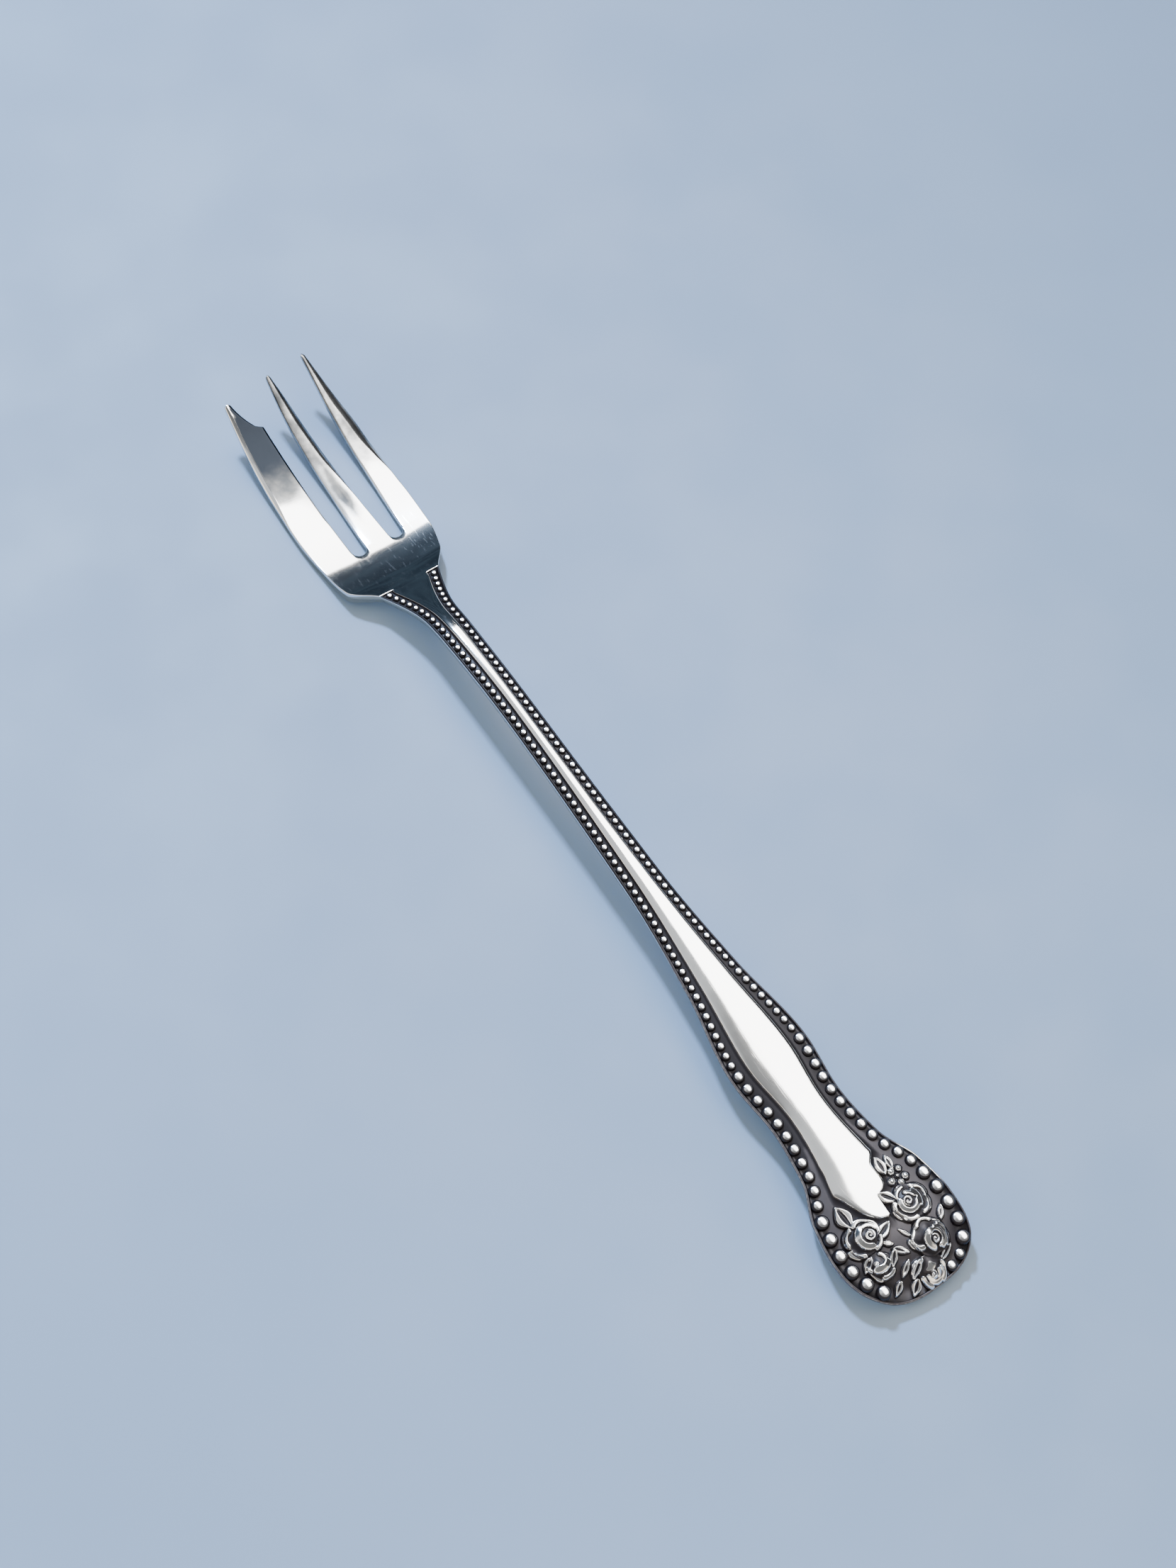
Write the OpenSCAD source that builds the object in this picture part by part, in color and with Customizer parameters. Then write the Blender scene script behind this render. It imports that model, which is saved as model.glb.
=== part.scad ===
// Three-tined oyster fork with a beaded handle and a cluster of roses at its end.
// It is struck from one bar of silver and lies face up: x runs from the handle's
// end to the tines, y is to the left of that, z is up from the table.

/* [Handle] */
// Length from the end of the handle to the shoulders where the bowl starts
handle_l = 112.8; // [104:0.2:124]
// Width of the round end at its widest
end_w = 17.4; // [15:0.1:20]
// Distance from the tip to the widest place of the round end
end_l = 8.4; // [7.4:0.1:9.6]
// Distance from the tip to the waist
waist_l = 25.4; // [24:0.1:27]
// Width of that waist
waist_w = 10.2; // [8.8:0.1:11]
// Distance from the tip to the swell above the waist
swell_l = 32.6; // [30.6:0.1:35]
// Width of that swell
swell_w = 11.4; // [10.4:0.1:12.8]
// Width of the stem at its narrowest
stem_w = 4.35; // [3.95:0.05:5.1]
// Width over the shoulders
shoulder_w = 9; // [7.8:0.1:9.8]
// Thickness of the stem's lower half
stem_t = 1.9; // [1.5:0.1:2.4]
// Width of the rounding under the handle's edges
under_round = 0.4; // [0.2:0.05:0.6]
// Thickness of the plate at the handle's edges
edge_t = 1.4; // [1:0.05:1.7]
// Height of the waist's edges above the table
waist_z = 3.85; // [3.3:0.05:4.5]
// Highest place of the stem's edges above the table
stem_z = 7.45; // [6.5:0.05:9]

/* [Bowl and tines] */
// Length from the shoulders to the tips of the tines
head_l = 37.2; // [33:0.2:40]
// Distance from the shoulders to the roots of the slots
root_l = 8.3; // [7:0.1:10]
// Reach of the head on the side of the broad cutting tine
left_w = 9.3; // [8.6:0.1:10]
// Reach of the head on the side of the narrow tine
right_w = 7.9; // [7.3:0.1:8.6]
// Width of the middle tine at its root
middle_w = 3.7; // [3:0.1:4.2]
// Width of the slots at their roots
slot_w = 2.1; // [1.7:0.1:2.4]
// Width at the points of the tines
point_w = 0.5; // [0.4:0.05:0.8]
// Height of the points above the table
point_z = 7.2; // [5.6:0.1:9]
// Thickness of the bowl
bowl_t = 1.5; // [1.2:0.05:1.9]
// Thickness of the tines at their points
point_t = 0.7; // [0.5:0.05:1]
// Length of the hollow cut into the broad tine's end
notch_l = 5.5; // [4:0.1:6.4]
// Radius of that hollow
notch_r = 8.5; // [8:0.1:12]

/* [Beads] */
// Distance from bead to bead along the stem
small_pitch = 1.16; // [1.1:0.005:1.3]
// Distance from bead to bead above the swell
medium_pitch = 1.34; // [1.3:0.02:1.5]
// Distance from bead to bead at the waist
large_pitch = 1.81; // [1.7:0.02:1.95]
// Distance from bead to bead round the end
end_pitch = 2.2; // [2.05:0.05:2.4]
// Number of medium beads on each side
medium_n = 8; // [4:1:12]
// Number of large beads on the left; the right has one more
large_n = 11; // [8:1:13]
// Number of end beads on the left, where leaves break the row
left_n = 6; // [4:1:6]
// Number of end beads on the right, where a rose breaks the row
right_n = 7; // [5:1:7]
// Diameter of a bead as a share of the distance between beads
bead_fill = 0.86; // [0.7:0.01:0.94]
// Width of the plain rim outside the beads
rim_w = 0.3; // [0.2:0.05:0.5]
// Height of that rim above the sunk ground
rim_h = 0.3; // [0.2:0.05:0.5]

/* [Panel and flowers] */
// Height of the polished panel above the sunk ground
panel_h = 0.35; // [0.2:0.05:0.6]
// Gap between the beads and the panel on the stem
panel_gap = 0.2; // [0.1:0.05:0.3]
// Gap between the beads and the panel at the waist
waist_gap = 0.8; // [0.4:0.05:1]
// Distance from the tip to the panel's point
panel_end = 9.6; // [9:0.1:11]
// Rise of the middle of the round end over its edges
dome_h = 1; // [0.6:0.1:1.4]
// Diameter of the largest rose
rose_d = 5; // [4:0.1:5.6]
// Height of that rose
rose_h = 1.5; // [1:0.1:2]

/* [Hidden] */
length = handle_l + head_l;
// the bounding box is centred on y = 0
centre_y = (max(right_w, end_w / 2) - max(left_w, end_w / 2)) / 2;
tiny = 0.01;
// squareness of the round end, where 2 would be an ellipse: its right corner is fuller
function end_power(side) = side > 0 ? 2.2 : 3.1;
end_arc = end_l * 1.6;
end_steps = 10;
handle_steps = 38;
head_steps = 17;

function mix(a, b, u) = a + (b - a) * u;
function ramp(u) = let (v = min(1, max(0, u))) v * v * (3 - 2 * v);

// Smooth curve through points [x, y]: cubic pieces that never overshoot
function piece(p, x, i = 0) = i < len(p) - 2 && x > p[i + 1][0] ? piece(p, x, i + 1) : i;
function rise(p, i) = (p[i + 1][1] - p[i][1]) / (p[i + 1][0] - p[i][0]);
function slope(p, i) =
    i == 0 ? 0 :
    i == len(p) - 1 ? rise(p, i - 1) :
    rise(p, i - 1) * rise(p, i) <= 0 ? 0 :
    2 * rise(p, i - 1) * rise(p, i) / (rise(p, i - 1) + rise(p, i));
function curve(p, x) =
    let (i = piece(p, x), h = p[i + 1][0] - p[i][0], u = min(1, max(0, (x - p[i][0]) / h)))
    p[i][1] * (1 + 2 * u) * pow(1 - u, 2) + p[i + 1][1] * u * u * (3 - 2 * u)
    + h * (slope(p, i) * u * pow(1 - u, 2) - slope(p, i + 1) * u * u * (1 - u));

// Half the width of the outline; side is 1 on the left and -1 on the right
function reach(side) = side > 0 ? left_w : right_w;
function outline(side) = [
    [end_l, end_w / 2],
    [mix(end_l, waist_l, 0.3), mix(waist_w, end_w, 0.795) / 2],
    [mix(end_l, waist_l, 0.6), mix(waist_w, end_w, 0.21) / 2],
    [waist_l, waist_w / 2],
    [swell_l, swell_w / 2],
    [0.4 * handle_l, mix(stem_w, swell_w, 0.48) / 2],
    [0.53 * handle_l, mix(stem_w, swell_w, 0.13) / 2],
    [0.78 * handle_l, stem_w / 2],
    [handle_l - 8, stem_w / 2 + 0.2],
    [handle_l, shoulder_w / 2],
    [handle_l + 0.45 * root_l, mix(shoulder_w / 2, reach(side), 0.72)],
    [handle_l + root_l, mix(shoulder_w / 2, reach(side), 0.93)],
    [handle_l + 0.39 * head_l, reach(side)],
    [handle_l + 0.68 * head_l, 0.93 * reach(side)],
    [length, 0.78 * reach(side)]];
function half_w(s, side = 1) =
    s >= end_l ? curve(outline(side), s) :
    let (power = end_power(side))
    end_w / 2 * pow(1 - pow(1 - max(0, s) / end_l, power), 1 / power);

// Height of the top at the edges, and the thickness below it
edge_z = [
    [0, edge_t],
    [0.4 * end_l, mix(edge_t, waist_z, 0.62)],
    [end_l, mix(edge_t, waist_z, 0.88)],
    [waist_l, waist_z],
    [0.4 * handle_l, mix(waist_z, stem_z, 0.42)],
    [0.6 * handle_l, mix(waist_z, stem_z, 0.8)],
    [0.79 * handle_l, stem_z],
    [0.9 * handle_l, stem_z - 0.8],
    [handle_l, bowl_t + 2],
    [handle_l + 0.42 * root_l, bowl_t + 0.95],
    [handle_l + root_l, bowl_t + 0.25],
    [handle_l + 0.4 * head_l, bowl_t],
    [handle_l + 0.6 * head_l, mix(bowl_t, point_z, 0.1)],
    [handle_l + 0.8 * head_l, mix(bowl_t, point_z, 0.4)],
    [length, point_z]];
thickness = [
    [0, edge_t],
    [waist_l, edge_t],
    [0.6 * handle_l, stem_t],
    [0.95 * handle_l, stem_t],
    [handle_l + root_l, bowl_t],
    [handle_l + 0.45 * head_l, bowl_t],
    [length - 0.3 * head_l, mix(bowl_t, point_t, 0.4)],
    [length, point_t]];
dome = [
    [0, 0.1],
    [end_l, dome_h],
    [waist_l, 0.9 * dome_h],
    [0.6 * handle_l, 0.5 * dome_h],
    [0.9 * handle_l, 0.4 * dome_h],
    [handle_l + 0.5 * root_l, -0.3],
    [handle_l + root_l, -0.35],
    [length, 0]];
function ground_z(s, y) =
    let (w = max(tiny, half_w(s, sign(y))))
    curve(edge_z, s) + curve(dome, s) * max(0, 1 - pow(y / w, 2));
// 1 over the handle, 0 over the bowl, where rim and sunk ground run out
function dressed(s) = 1 - ramp((s - handle_l + 0.5) / 2);
// The panel runs on into the bowl and loses its height there
function panel_lift(s) = panel_h * (1 - ramp((s - handle_l) / 12));
// The back is flat under the round end and rounded under the stem
function under_z(s, y) =
    let (round_up = 0.24 * dressed(s) * ramp((s - end_l) / 12))
    curve(edge_z, s) - curve(thickness, s) * (1 - round_up * pow(min(1, abs(y) / half_w(s, sign(y))), 3));

// Places along the edge are numbered by t: the distance past the widest place of
// the round end, and below 0 the distance back round the end to its tip
function edge(t, side) =
    t >= 0 ? [end_l + t, side * half_w(end_l + t, side)] :
    let (a = 90 * max(0, 1 + t / end_arc), bend = 2 / end_power(side))
    [end_l * (1 - pow(cos(a), bend)), side * end_w / 2 * pow(sin(a), bend)];
function inward(t, side) =
    t <= tiny - end_arc ? [1, 0] :
    let (d = edge(t + 0.05, side) - edge(t - 0.05, side)) [d[1], -d[0]] * side / norm(d);

// The beads grow from the stem to the end, and their row keeps its distance to the edge
tip_share = 0.78;
bead_inset = [
    [0, rim_w + tip_share * end_pitch * bead_fill / 2 - 0.1],
    [0.4 * end_l, rim_w + end_pitch * bead_fill / 2],
    [end_l, rim_w + end_pitch * bead_fill / 2],
    [mix(end_l, waist_l, 0.6), rim_w + large_pitch * bead_fill / 2],
    [swell_l, rim_w + large_pitch * bead_fill / 2],
    [0.4 * handle_l, rim_w + small_pitch * bead_fill / 2 + 0.05],
    [handle_l, rim_w + small_pitch * bead_fill / 2 + 0.05]];
function row(t, side) =
    let (e = edge(t, side), q = e + curve(bead_inset, e[0]) * inward(t, side))
    [q[0], q[1], ground_z(q[0], q[1])];
function pitch(k, n) =
    k < n ? large_pitch :
    k < n + medium_n ? medium_pitch : small_pitch;
// How far t moves for a straight gap between two beads, found in a few rounds
function stride(t, side, gap, guess, rounds = 4) =
    rounds == 0 ? guess :
    stride(t, side, gap, guess * abs(gap) / norm(row(t + guess, side) - row(t, side)), rounds - 1);
// Walks up the handle from bead k, or down round the end, where the right row
// finishes with two smaller beads
function up(t, side, n, k = 0) =
    t > handle_l - end_l ? [] :
    let (gap = (pitch(k, n) + pitch(k + 1, n)) / 2)
    concat([[t, pitch(k, n)]], up(t + stride(t, side, gap, gap), side, n, k + 1));
function end_size(side, n, k) = end_pitch * (side < 0 && k > n - 2 ? tip_share : 1);
function down(t, side, n, k = 1) =
    k > n ? [] :
    let (p = end_size(side, n, k), gap = (p + end_size(side, n, k + 1)) / 2)
    concat([[t, p]], down(t + stride(t, side, gap, -gap), side, n, k + 1));
// The end beads start a little further up the handle on the left
function first_t(side) = end_l * (side > 0 ? 0.63 : 0.4);

// The smaller beads are plain five-sided studs, the larger ones rounder domes
module bead(d, plain) {
    if (plain)
        translate([0, 0, -0.1 * d]) cylinder(d1 = 1.08 * d, d2 = 0.5 * d, h = 0.54 * d, $fn = 5);
    else
        sphere(d = d, $fn = 7);
}
module bead_row(side, n) {
    first = first_t(side);
    gap = (end_pitch + large_pitch) / 2;
    next = first + stride(first, side, gap, gap);
    for (b = concat(down(first, side, n), up(next, side, side > 0 ? large_n : large_n + 1)))
        translate(row(b[0], side)) bead(b[1] * bead_fill, b[1] < large_pitch);
}

// Half the width of the polished panel: it follows the beads and ends in a point.
// On the right a rose, a blossom and leaves cut it back before that
moat = [
    [waist_l, waist_gap],
    [0.5 * handle_l, panel_gap]];
function panel_full(s, side) =
    let (k = half_w(s + 0.1, side) - half_w(s - 0.1, side))
    half_w(s, side) - (2 * curve(bead_inset, s) - rim_w + curve(moat, s)) * sqrt(1 + pow(k / 0.2, 2));
panel_side = mix(end_l, waist_l, 0.47);
function panel_s(share) = mix(panel_end, panel_side, share);
panel_left = [
    [panel_end, 0],
    [panel_s(0.06), 0.18],
    [panel_s(0.24), 0.39],
    [panel_s(0.65), 0.68],
    [panel_s(0.85), 0.92],
    [panel_s(1.1), 1],
    [waist_l, 1]];
panel_right = [
    [panel_end, 0.06],
    [panel_s(0.35), 0.085],
    [panel_s(0.5), 0.39],
    [panel_s(0.9), 0.55],
    [panel_s(1.12), 0.96],
    [waist_l, 1]];
function panel_w(s, side) = panel_full(s, side) * curve(side > 0 ? panel_left : panel_right, s);

// Lines across the blank run from the middle of the panel to the edge; round the
// end they fan out
fan_t = 0.8 * (waist_l - end_l);
function fan(t) = (t + end_arc) / (fan_t + end_arc);
function middle_s(t, lead) = t >= fan_t ? end_l + t : mix(panel_end + lead, end_l + fan_t, fan(t));

// Points across the top from the middle to one edge, then back underneath
function across(t, side) =
    let (
        e = edge(t, side),
        n = inward(t, side),
        m = [middle_s(t, 0.8), 0],
        ps = middle_s(t, 0),
        p = [ps, side * (t > tiny - end_arc ? max(tiny, panel_w(ps, side)) : 0)],
        out = (e - m) / norm(e - m),
        g = dressed(e[0]),
        plain = [for (f = [0, 0.25, 0.5, 0.6, 0.8, 0.92, 1]) m + (e - m) * f],
        dressy = [m, mix(m, p, 0.55), p, p + 0.15 * out, e + rim_w * n, e + 0.5 * rim_w * n, e],
        lift = [panel_h, panel_h, panel_h * 0.8, 0, 0, rim_h, 0.3 * rim_h],
        top = [for (i = [0:6]) mix(plain[i], dressy[i], g)],
        low = [e + mix(0.1, under_round, g) * n, mix(m, e, 0.55), m]
    ) concat(
        [for (i = [0:6]) [top[i][0], top[i][1],
            ground_z(top[i][0], top[i][1]) + mix(panel_lift(e[0]), lift[i], g)]],
        [for (i = [0:2]) [low[i][0], low[i][1], under_z(low[i][0], low[i][1])]]);

// The blank: one closed skin over all the cross lines
places = concat(
    [for (i = [0:end_steps - 1]) end_arc * (i / end_steps - 1)],
    [for (i = [0:handle_steps - 1]) (handle_l - end_l) * i / handle_steps],
    [for (i = [0:head_steps]) handle_l - end_l + head_l * pow(i / head_steps, 1.3)]);
module blank() {
    ring = 18;
    rings = [for (t = places)
        let (a = across(t, 1), b = across(t, -1))
        concat([for (i = [0:9]) a[i]], [for (i = [8:-1:1]) b[i]])];
    points = [for (r = rings) for (p = r) p];
    last = (len(rings) - 1) * ring;
    polyhedron(points, concat(
        [for (i = [0:len(rings) - 2]) for (j = [0:ring - 1])
            let (a = i * ring + j, b = i * ring + (j + 1) % ring) [a, b, b + ring]],
        [for (i = [0:len(rings) - 2]) for (j = [0:ring - 1])
            let (a = i * ring + j, b = i * ring + (j + 1) % ring) [a, b + ring, a + ring]],
        [[for (j = [0:ring - 1]) last + j]]));
}

// Openings between the tines, as seen from above; the one beside the broad tine
// grows into the hollow at that tine's end
root_s = handle_l + root_l;
function tine_u(s) = (s - root_s) / (length - root_s);
middle_edge = [[0, 0.5], [0.3, 0.425], [0.58, 0.325], [0.81, 0.23], [1, point_w / middle_w / 2]];
function slot_in(s) = middle_w * curve(middle_edge, tine_u(s));
function hollow(s) = half_w(length, 1) - point_w - notch_r + sqrt(pow(notch_r, 2) - pow(length - s, 2));
function slot_out(s, side) =
    let (near = middle_w / 2 + slot_w)
    side < 0 ? mix(near, half_w(length, side) - point_w, max(0, tine_u(s))) :
    s < length - notch_l ? near + 0.2 * tine_u(s) : max(near + 0.2, hollow(s));
slot_s = concat(
    [for (i = [0:10]) mix(root_s + slot_w / 2, length - notch_l - tiny, i / 10)],
    [for (i = [0:5]) length - notch_l * (1 - i / 5)]);
module slot(side) {
    scale([1, side]) {
        translate([root_s + slot_w / 2, (middle_w + slot_w) / 2]) circle(d = slot_w, $fn = 16);
        polygon(concat(
            [for (s = slot_s) [s, slot_in(s)]],
            [[length + 1, point_w / 2], [length + 1, slot_out(length, side)]],
            [for (i = [len(slot_s) - 1:-1:0]) [slot_s[i], slot_out(slot_s[i], side)]]));
    }
}

// Puts a flower or leaf on the round end: u and v are shares of its length and width
module seat(u, v, turn) {
    s = u * end_l;
    y = v * end_w / 2;
    step = 0.3;
    climb = ground_z(s + step, y) - ground_z(s - step, y);
    bank = ground_z(s, y + step) - ground_z(s, y - step);
    translate([s, y, ground_z(s, y)])
        rotate([atan(bank / step / 2), -atan(climb / step / 2), turn]) children();
}

// A petal is a rounded wedge that stands higher at its outer edge
module petal(r, w, h) {
    hull() {
        translate([0.15 * r, 0, -0.3]) cylinder(d = 0.3 * w, h = 0.3 + 0.4 * h, $fn = 3);
        translate([0.68 * r, 0.2 * w, -0.3]) cylinder(d1 = 0.6 * w, d2 = 0.42 * w, h = 0.3 + h, $fn = 5);
        translate([0.68 * r, -0.2 * w, -0.3]) cylinder(d = 0.6 * w, h = 0.3 + 0.75 * h, $fn = 4);
    }
}
module rose(d, h) {
    for (i = [0:4]) rotate(72 * i) petal(d / 2, 0.5 * d, 0.6 * h);
    cylinder(d1 = 0.6 * d, d2 = 0.36 * d, h = 0.8 * h, $fn = 6);
    rotate(30) cylinder(d1 = 0.6 * d, d2 = 0.15 * d, h = 1.05 * h, $fn = 5);
}
module blossom(d, h) {
    for (i = [0:4]) rotate(72 * i) petal(d / 2, 0.36 * d, 0.7 * h);
    translate([0, 0, -0.3]) cylinder(d = 0.36 * d, h = 0.3 + h, $fn = 5);
}
// A leaf is pointed at both ends and folded up along its middle
module leaf(l, w, h) {
    hull() {
        translate([-l / 2, 0, -0.3]) cylinder(d = 0.2, h = 0.4, $fn = 3);
        translate([0, 0, -0.3]) cylinder(d = w, h = 0.3 + 0.3 * h, $fn = 4);
        translate([0, 0, -0.3]) cylinder(d = 0.3 * w, h = 0.3 + h, $fn = 3);
        translate([l / 2, 0, -0.3]) cylinder(d = 0.2, h = 0.4, $fn = 3);
    }
}
module flowers() {
    leaf_l = 0.6 * rose_d;
    leaf_w = 0.3 * rose_d;
    leaf_h = 0.45 * rose_h;
    seat(1.13, -0.36, 10) rose(rose_d, rose_h);
    seat(0.55, -0.39, 50) rose(0.92 * rose_d, rose_h);
    seat(0.25, -0.1, 20) rose(0.84 * rose_d, 0.8 * rose_h);
    seat(0.63, 0.46, 0) rose(0.74 * rose_d, 0.8 * rose_h);
    seat(1.07, 0.37, 30) rose(0.84 * rose_d, 0.9 * rose_h);
    seat(1.52, -0.48, 20) blossom(0.6 * rose_d, 0.6 * rose_h);
    for (p = [[1.79, -0.42, 200], [1.75, -0.34, 165], [1.34, -0.17, 150], [1.49, 0.5, 200],
            [0.99, 0.15, 250], [0.93, 0.67, 140], [0.8, -0.66, 190], [0.65, 0.06, 120],
            [0.6, 0.26, 60], [0.43, 0.2, 160], [0.26, 0.41, 235], [0.13, 0.17, 260]])
        seat(p[0], p[1], p[2]) leaf(leaf_l, leaf_w, leaf_h);
}

module fork() {
    color("silver") translate([-length / 2, centre_y, 0]) difference() {
        union() {
            blank();
            bead_row(1, left_n);
            bead_row(-1, right_n);
            flowers();
        }
        translate([0, 0, -1]) linear_extrude(point_z + 3) {
            slot(1);
            slot(-1);
        }
    }
}

fork();
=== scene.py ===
# %% [markdown]
# # A beaded oyster fork in struck silver
# The fork is one piece of metal: three tines, a small bowl, a slender stem and a
# broad decorated end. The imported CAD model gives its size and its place. This
# lesson dresses it with a finer skin, round beads, roses cut in relief and aged
# silver, all in the same frame, in metres.

# %% Load the frame
import math
import bpy
import numpy as np
from mathutils import Matrix, Vector


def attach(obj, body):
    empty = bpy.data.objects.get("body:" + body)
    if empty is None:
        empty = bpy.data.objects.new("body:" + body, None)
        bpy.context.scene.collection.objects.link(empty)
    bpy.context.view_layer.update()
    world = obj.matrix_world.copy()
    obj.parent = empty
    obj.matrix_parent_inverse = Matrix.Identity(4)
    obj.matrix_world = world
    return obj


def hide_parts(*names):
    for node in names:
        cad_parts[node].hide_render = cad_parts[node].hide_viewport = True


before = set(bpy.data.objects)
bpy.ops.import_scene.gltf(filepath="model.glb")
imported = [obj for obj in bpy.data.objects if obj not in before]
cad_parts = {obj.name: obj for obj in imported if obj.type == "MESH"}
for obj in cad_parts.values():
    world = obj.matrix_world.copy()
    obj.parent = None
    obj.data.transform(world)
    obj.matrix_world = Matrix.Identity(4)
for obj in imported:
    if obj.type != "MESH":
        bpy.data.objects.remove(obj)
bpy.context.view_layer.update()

# %% [markdown]
# ## Camera
# The photograph looks down on the fork from behind its handle and from its left,
# about 27 degrees off the vertical. Blender's own turning angles would need much
# trial and error, so the camera is placed by three directions: to the right of the
# picture, down the picture, and into it. The lens is given in millimetres on a
# 36 mm sensor that spans the picture's height.

# %% Camera
LENS_MM, SENSOR_MM, NEAREST = 48.8, 36, 0.005
EYE = Vector((-0.0883, 0.0846, 0.2456))
TILT, HEADING, ROLL = math.radians(27.3), math.radians(45.3), math.radians(-11.1)


def add_object(name, data):
    """A new object in the scene."""
    made = bpy.data.objects.new(name, data)
    bpy.context.collection.objects.link(made)
    return made


def aim(tilt, heading, roll):
    """Directions right, down and forward of a camera that looks at the table."""
    level = Vector((-math.cos(heading), -math.sin(heading), 0))
    away = Vector((math.sin(heading), -math.cos(heading), 0))
    up = Vector((0, 0, 1))
    forward = math.sin(tilt) * away - math.cos(tilt) * up
    down = -(math.cos(tilt) * away + math.sin(tilt) * up)
    right = level * math.cos(roll) + down * math.sin(roll)
    return right, down * math.cos(roll) - level * math.sin(roll), forward


right, down, forward = aim(TILT, HEADING, ROLL)
camera_data = bpy.data.cameras.new("camera")
camera_data.lens = LENS_MM
camera_data.sensor_width = SENSOR_MM
camera_data.clip_start = NEAREST
camera = add_object("camera", camera_data)
turn = Matrix((right, -down, -forward)).transposed().to_4x4()
camera.matrix_world = Matrix.Translation(EYE) @ turn
bpy.context.scene.camera = camera
print("camera looks along", [round(v, 3) for v in forward])

# %% [markdown]
# ## Sizes of the fork
# The same named sizes as in the CAD source, in millimetres. `s` is the distance
# from the handle's end, `y` the distance to the left, `z` the height over the
# table. `Curve` draws a smooth line through a few points, as a maker would with a
# bent strip. A plain spline would swing past the points where they are uneven, and
# the fork's waist would bulge.

# %% Sizes and smooth curves
HANDLE_L, HEAD_L = 112.8, 37.2
LENGTH = HANDLE_L + HEAD_L
END_W, END_L = 17.4, 8.4    # the round end: its width, and its tip to its broadest place
END_POWER = {1: 2.2, -1: 3.1}    # how square it is on the left (1) and the right (-1)
WAIST_L, SWELL_L = 25.4, 32.6    # where the handle is narrow, and broad again
WAIST_W, SWELL_W, STEM_W, SHOULDER_W = 10.2, 11.4, 4.35, 9.0
STEM_T, EDGE_T, BOWL_T, POINT_T = 1.9, 1.4, 1.5, 0.7    # thicknesses of the metal
STEM_Z, WAIST_Z, POINT_Z, UNDER_ROUND = 7.45, 3.85, 7.2, 0.4
ROOT_S = HANDLE_L + 8.3    # where the slots begin
LEFT_W, RIGHT_W, MIDDLE_W = 9.3, 7.9, 3.7
SLOT_W, POINT_W = 2.1, 0.5
NOTCH_L, NOTCH_R = 5.5, 8.5    # the hollow at the end of the broad tine
CENTRE_Y = -0.3    # centres the fork's box in the frame


def mix(a, b, u):
    """The value at the share u of the way from a to b."""
    return a + (b - a) * u


def ramp(u):
    """0 below 0, 1 above 1, and smooth between."""
    v = min(1.0, max(0.0, u))
    return v * v * (3 - 2 * v)


class Curve:
    """A smooth line through points that never overshoots them."""

    def __init__(self, points):
        self.x = [p[0] for p in points]
        self.y = [p[1] for p in points]
        rise = [(self.y[i + 1] - self.y[i]) / (self.x[i + 1] - self.x[i])
                for i in range(len(points) - 1)]
        self.slope = [0.0] + [
            0.0 if a * b <= 0 else 2 * a * b / (a + b) for a, b in zip(rise, rise[1:])] + [rise[-1]]

    def __call__(self, x):
        i = 0
        while i < len(self.x) - 2 and x > self.x[i + 1]:
            i += 1
        h = self.x[i + 1] - self.x[i]
        u = min(1.0, max(0.0, (x - self.x[i]) / h))
        return (self.y[i] * (1 + 2 * u) * (1 - u) ** 2 + self.y[i + 1] * u * u * (3 - 2 * u)
                + h * (self.slope[i] * u * (1 - u) ** 2 - self.slope[i + 1] * u * u * (1 - u)))


print("length:", LENGTH, "mm")

# %% [markdown]
# ## The outline
# Seen from above the fork is a slender stem between a broad end and a head, and its
# head is a little broader on the left. One curve for each side gives the width at
# every `s`. Only the round end has a rule of its own, a squared circle, because a
# curve of width against length can't turn back at the tip.

# %% Outline
def side_outline(reach):
    """Half the width along s, for a head that reaches this far out."""
    return Curve([
        (END_L, END_W / 2), (mix(END_L, WAIST_L, 0.3), mix(WAIST_W, END_W, 0.795) / 2),
        (mix(END_L, WAIST_L, 0.6), mix(WAIST_W, END_W, 0.21) / 2),
        (WAIST_L, WAIST_W / 2), (SWELL_L, SWELL_W / 2),
        (0.4 * HANDLE_L, mix(STEM_W, SWELL_W, 0.48) / 2),
        (0.53 * HANDLE_L, mix(STEM_W, SWELL_W, 0.13) / 2),
        (0.78 * HANDLE_L, STEM_W / 2), (HANDLE_L - 8, STEM_W / 2 + 0.2),
        (HANDLE_L, SHOULDER_W / 2), (HANDLE_L + 3.7, mix(SHOULDER_W / 2, reach, 0.72)),
        (ROOT_S, mix(SHOULDER_W / 2, reach, 0.93)), (HANDLE_L + 0.39 * HEAD_L, reach),
        (HANDLE_L + 0.68 * HEAD_L, 0.93 * reach), (LENGTH, 0.78 * reach)])


LEFT_OUTLINE, RIGHT_OUTLINE = side_outline(LEFT_W), side_outline(RIGHT_W)


def half_width(s, side):
    """Half the fork's width at s; side is 1 on the left and -1 on the right."""
    if s >= END_L:
        return LEFT_OUTLINE(s) if side > 0 else RIGHT_OUTLINE(s)
    power = END_POWER[side]
    return END_W / 2 * (1 - (1 - max(0.0, s) / END_L) ** power) ** (1 / power)


print("width at the swell:", round(2 * half_width(SWELL_L, 1), 2), "mm")

# %% [markdown]
# ## Heights
# A fork that lies on a table is arched: it rests on its end and its bowl, and the
# stem stands free between them. The body could be bent after it is made, but then
# every bead on it would be bent too. So the first curve is the height of the upper
# edge, the second the thickness below it, and the third how much the face swells,
# or sinks in the bowl, between its edges.

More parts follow.
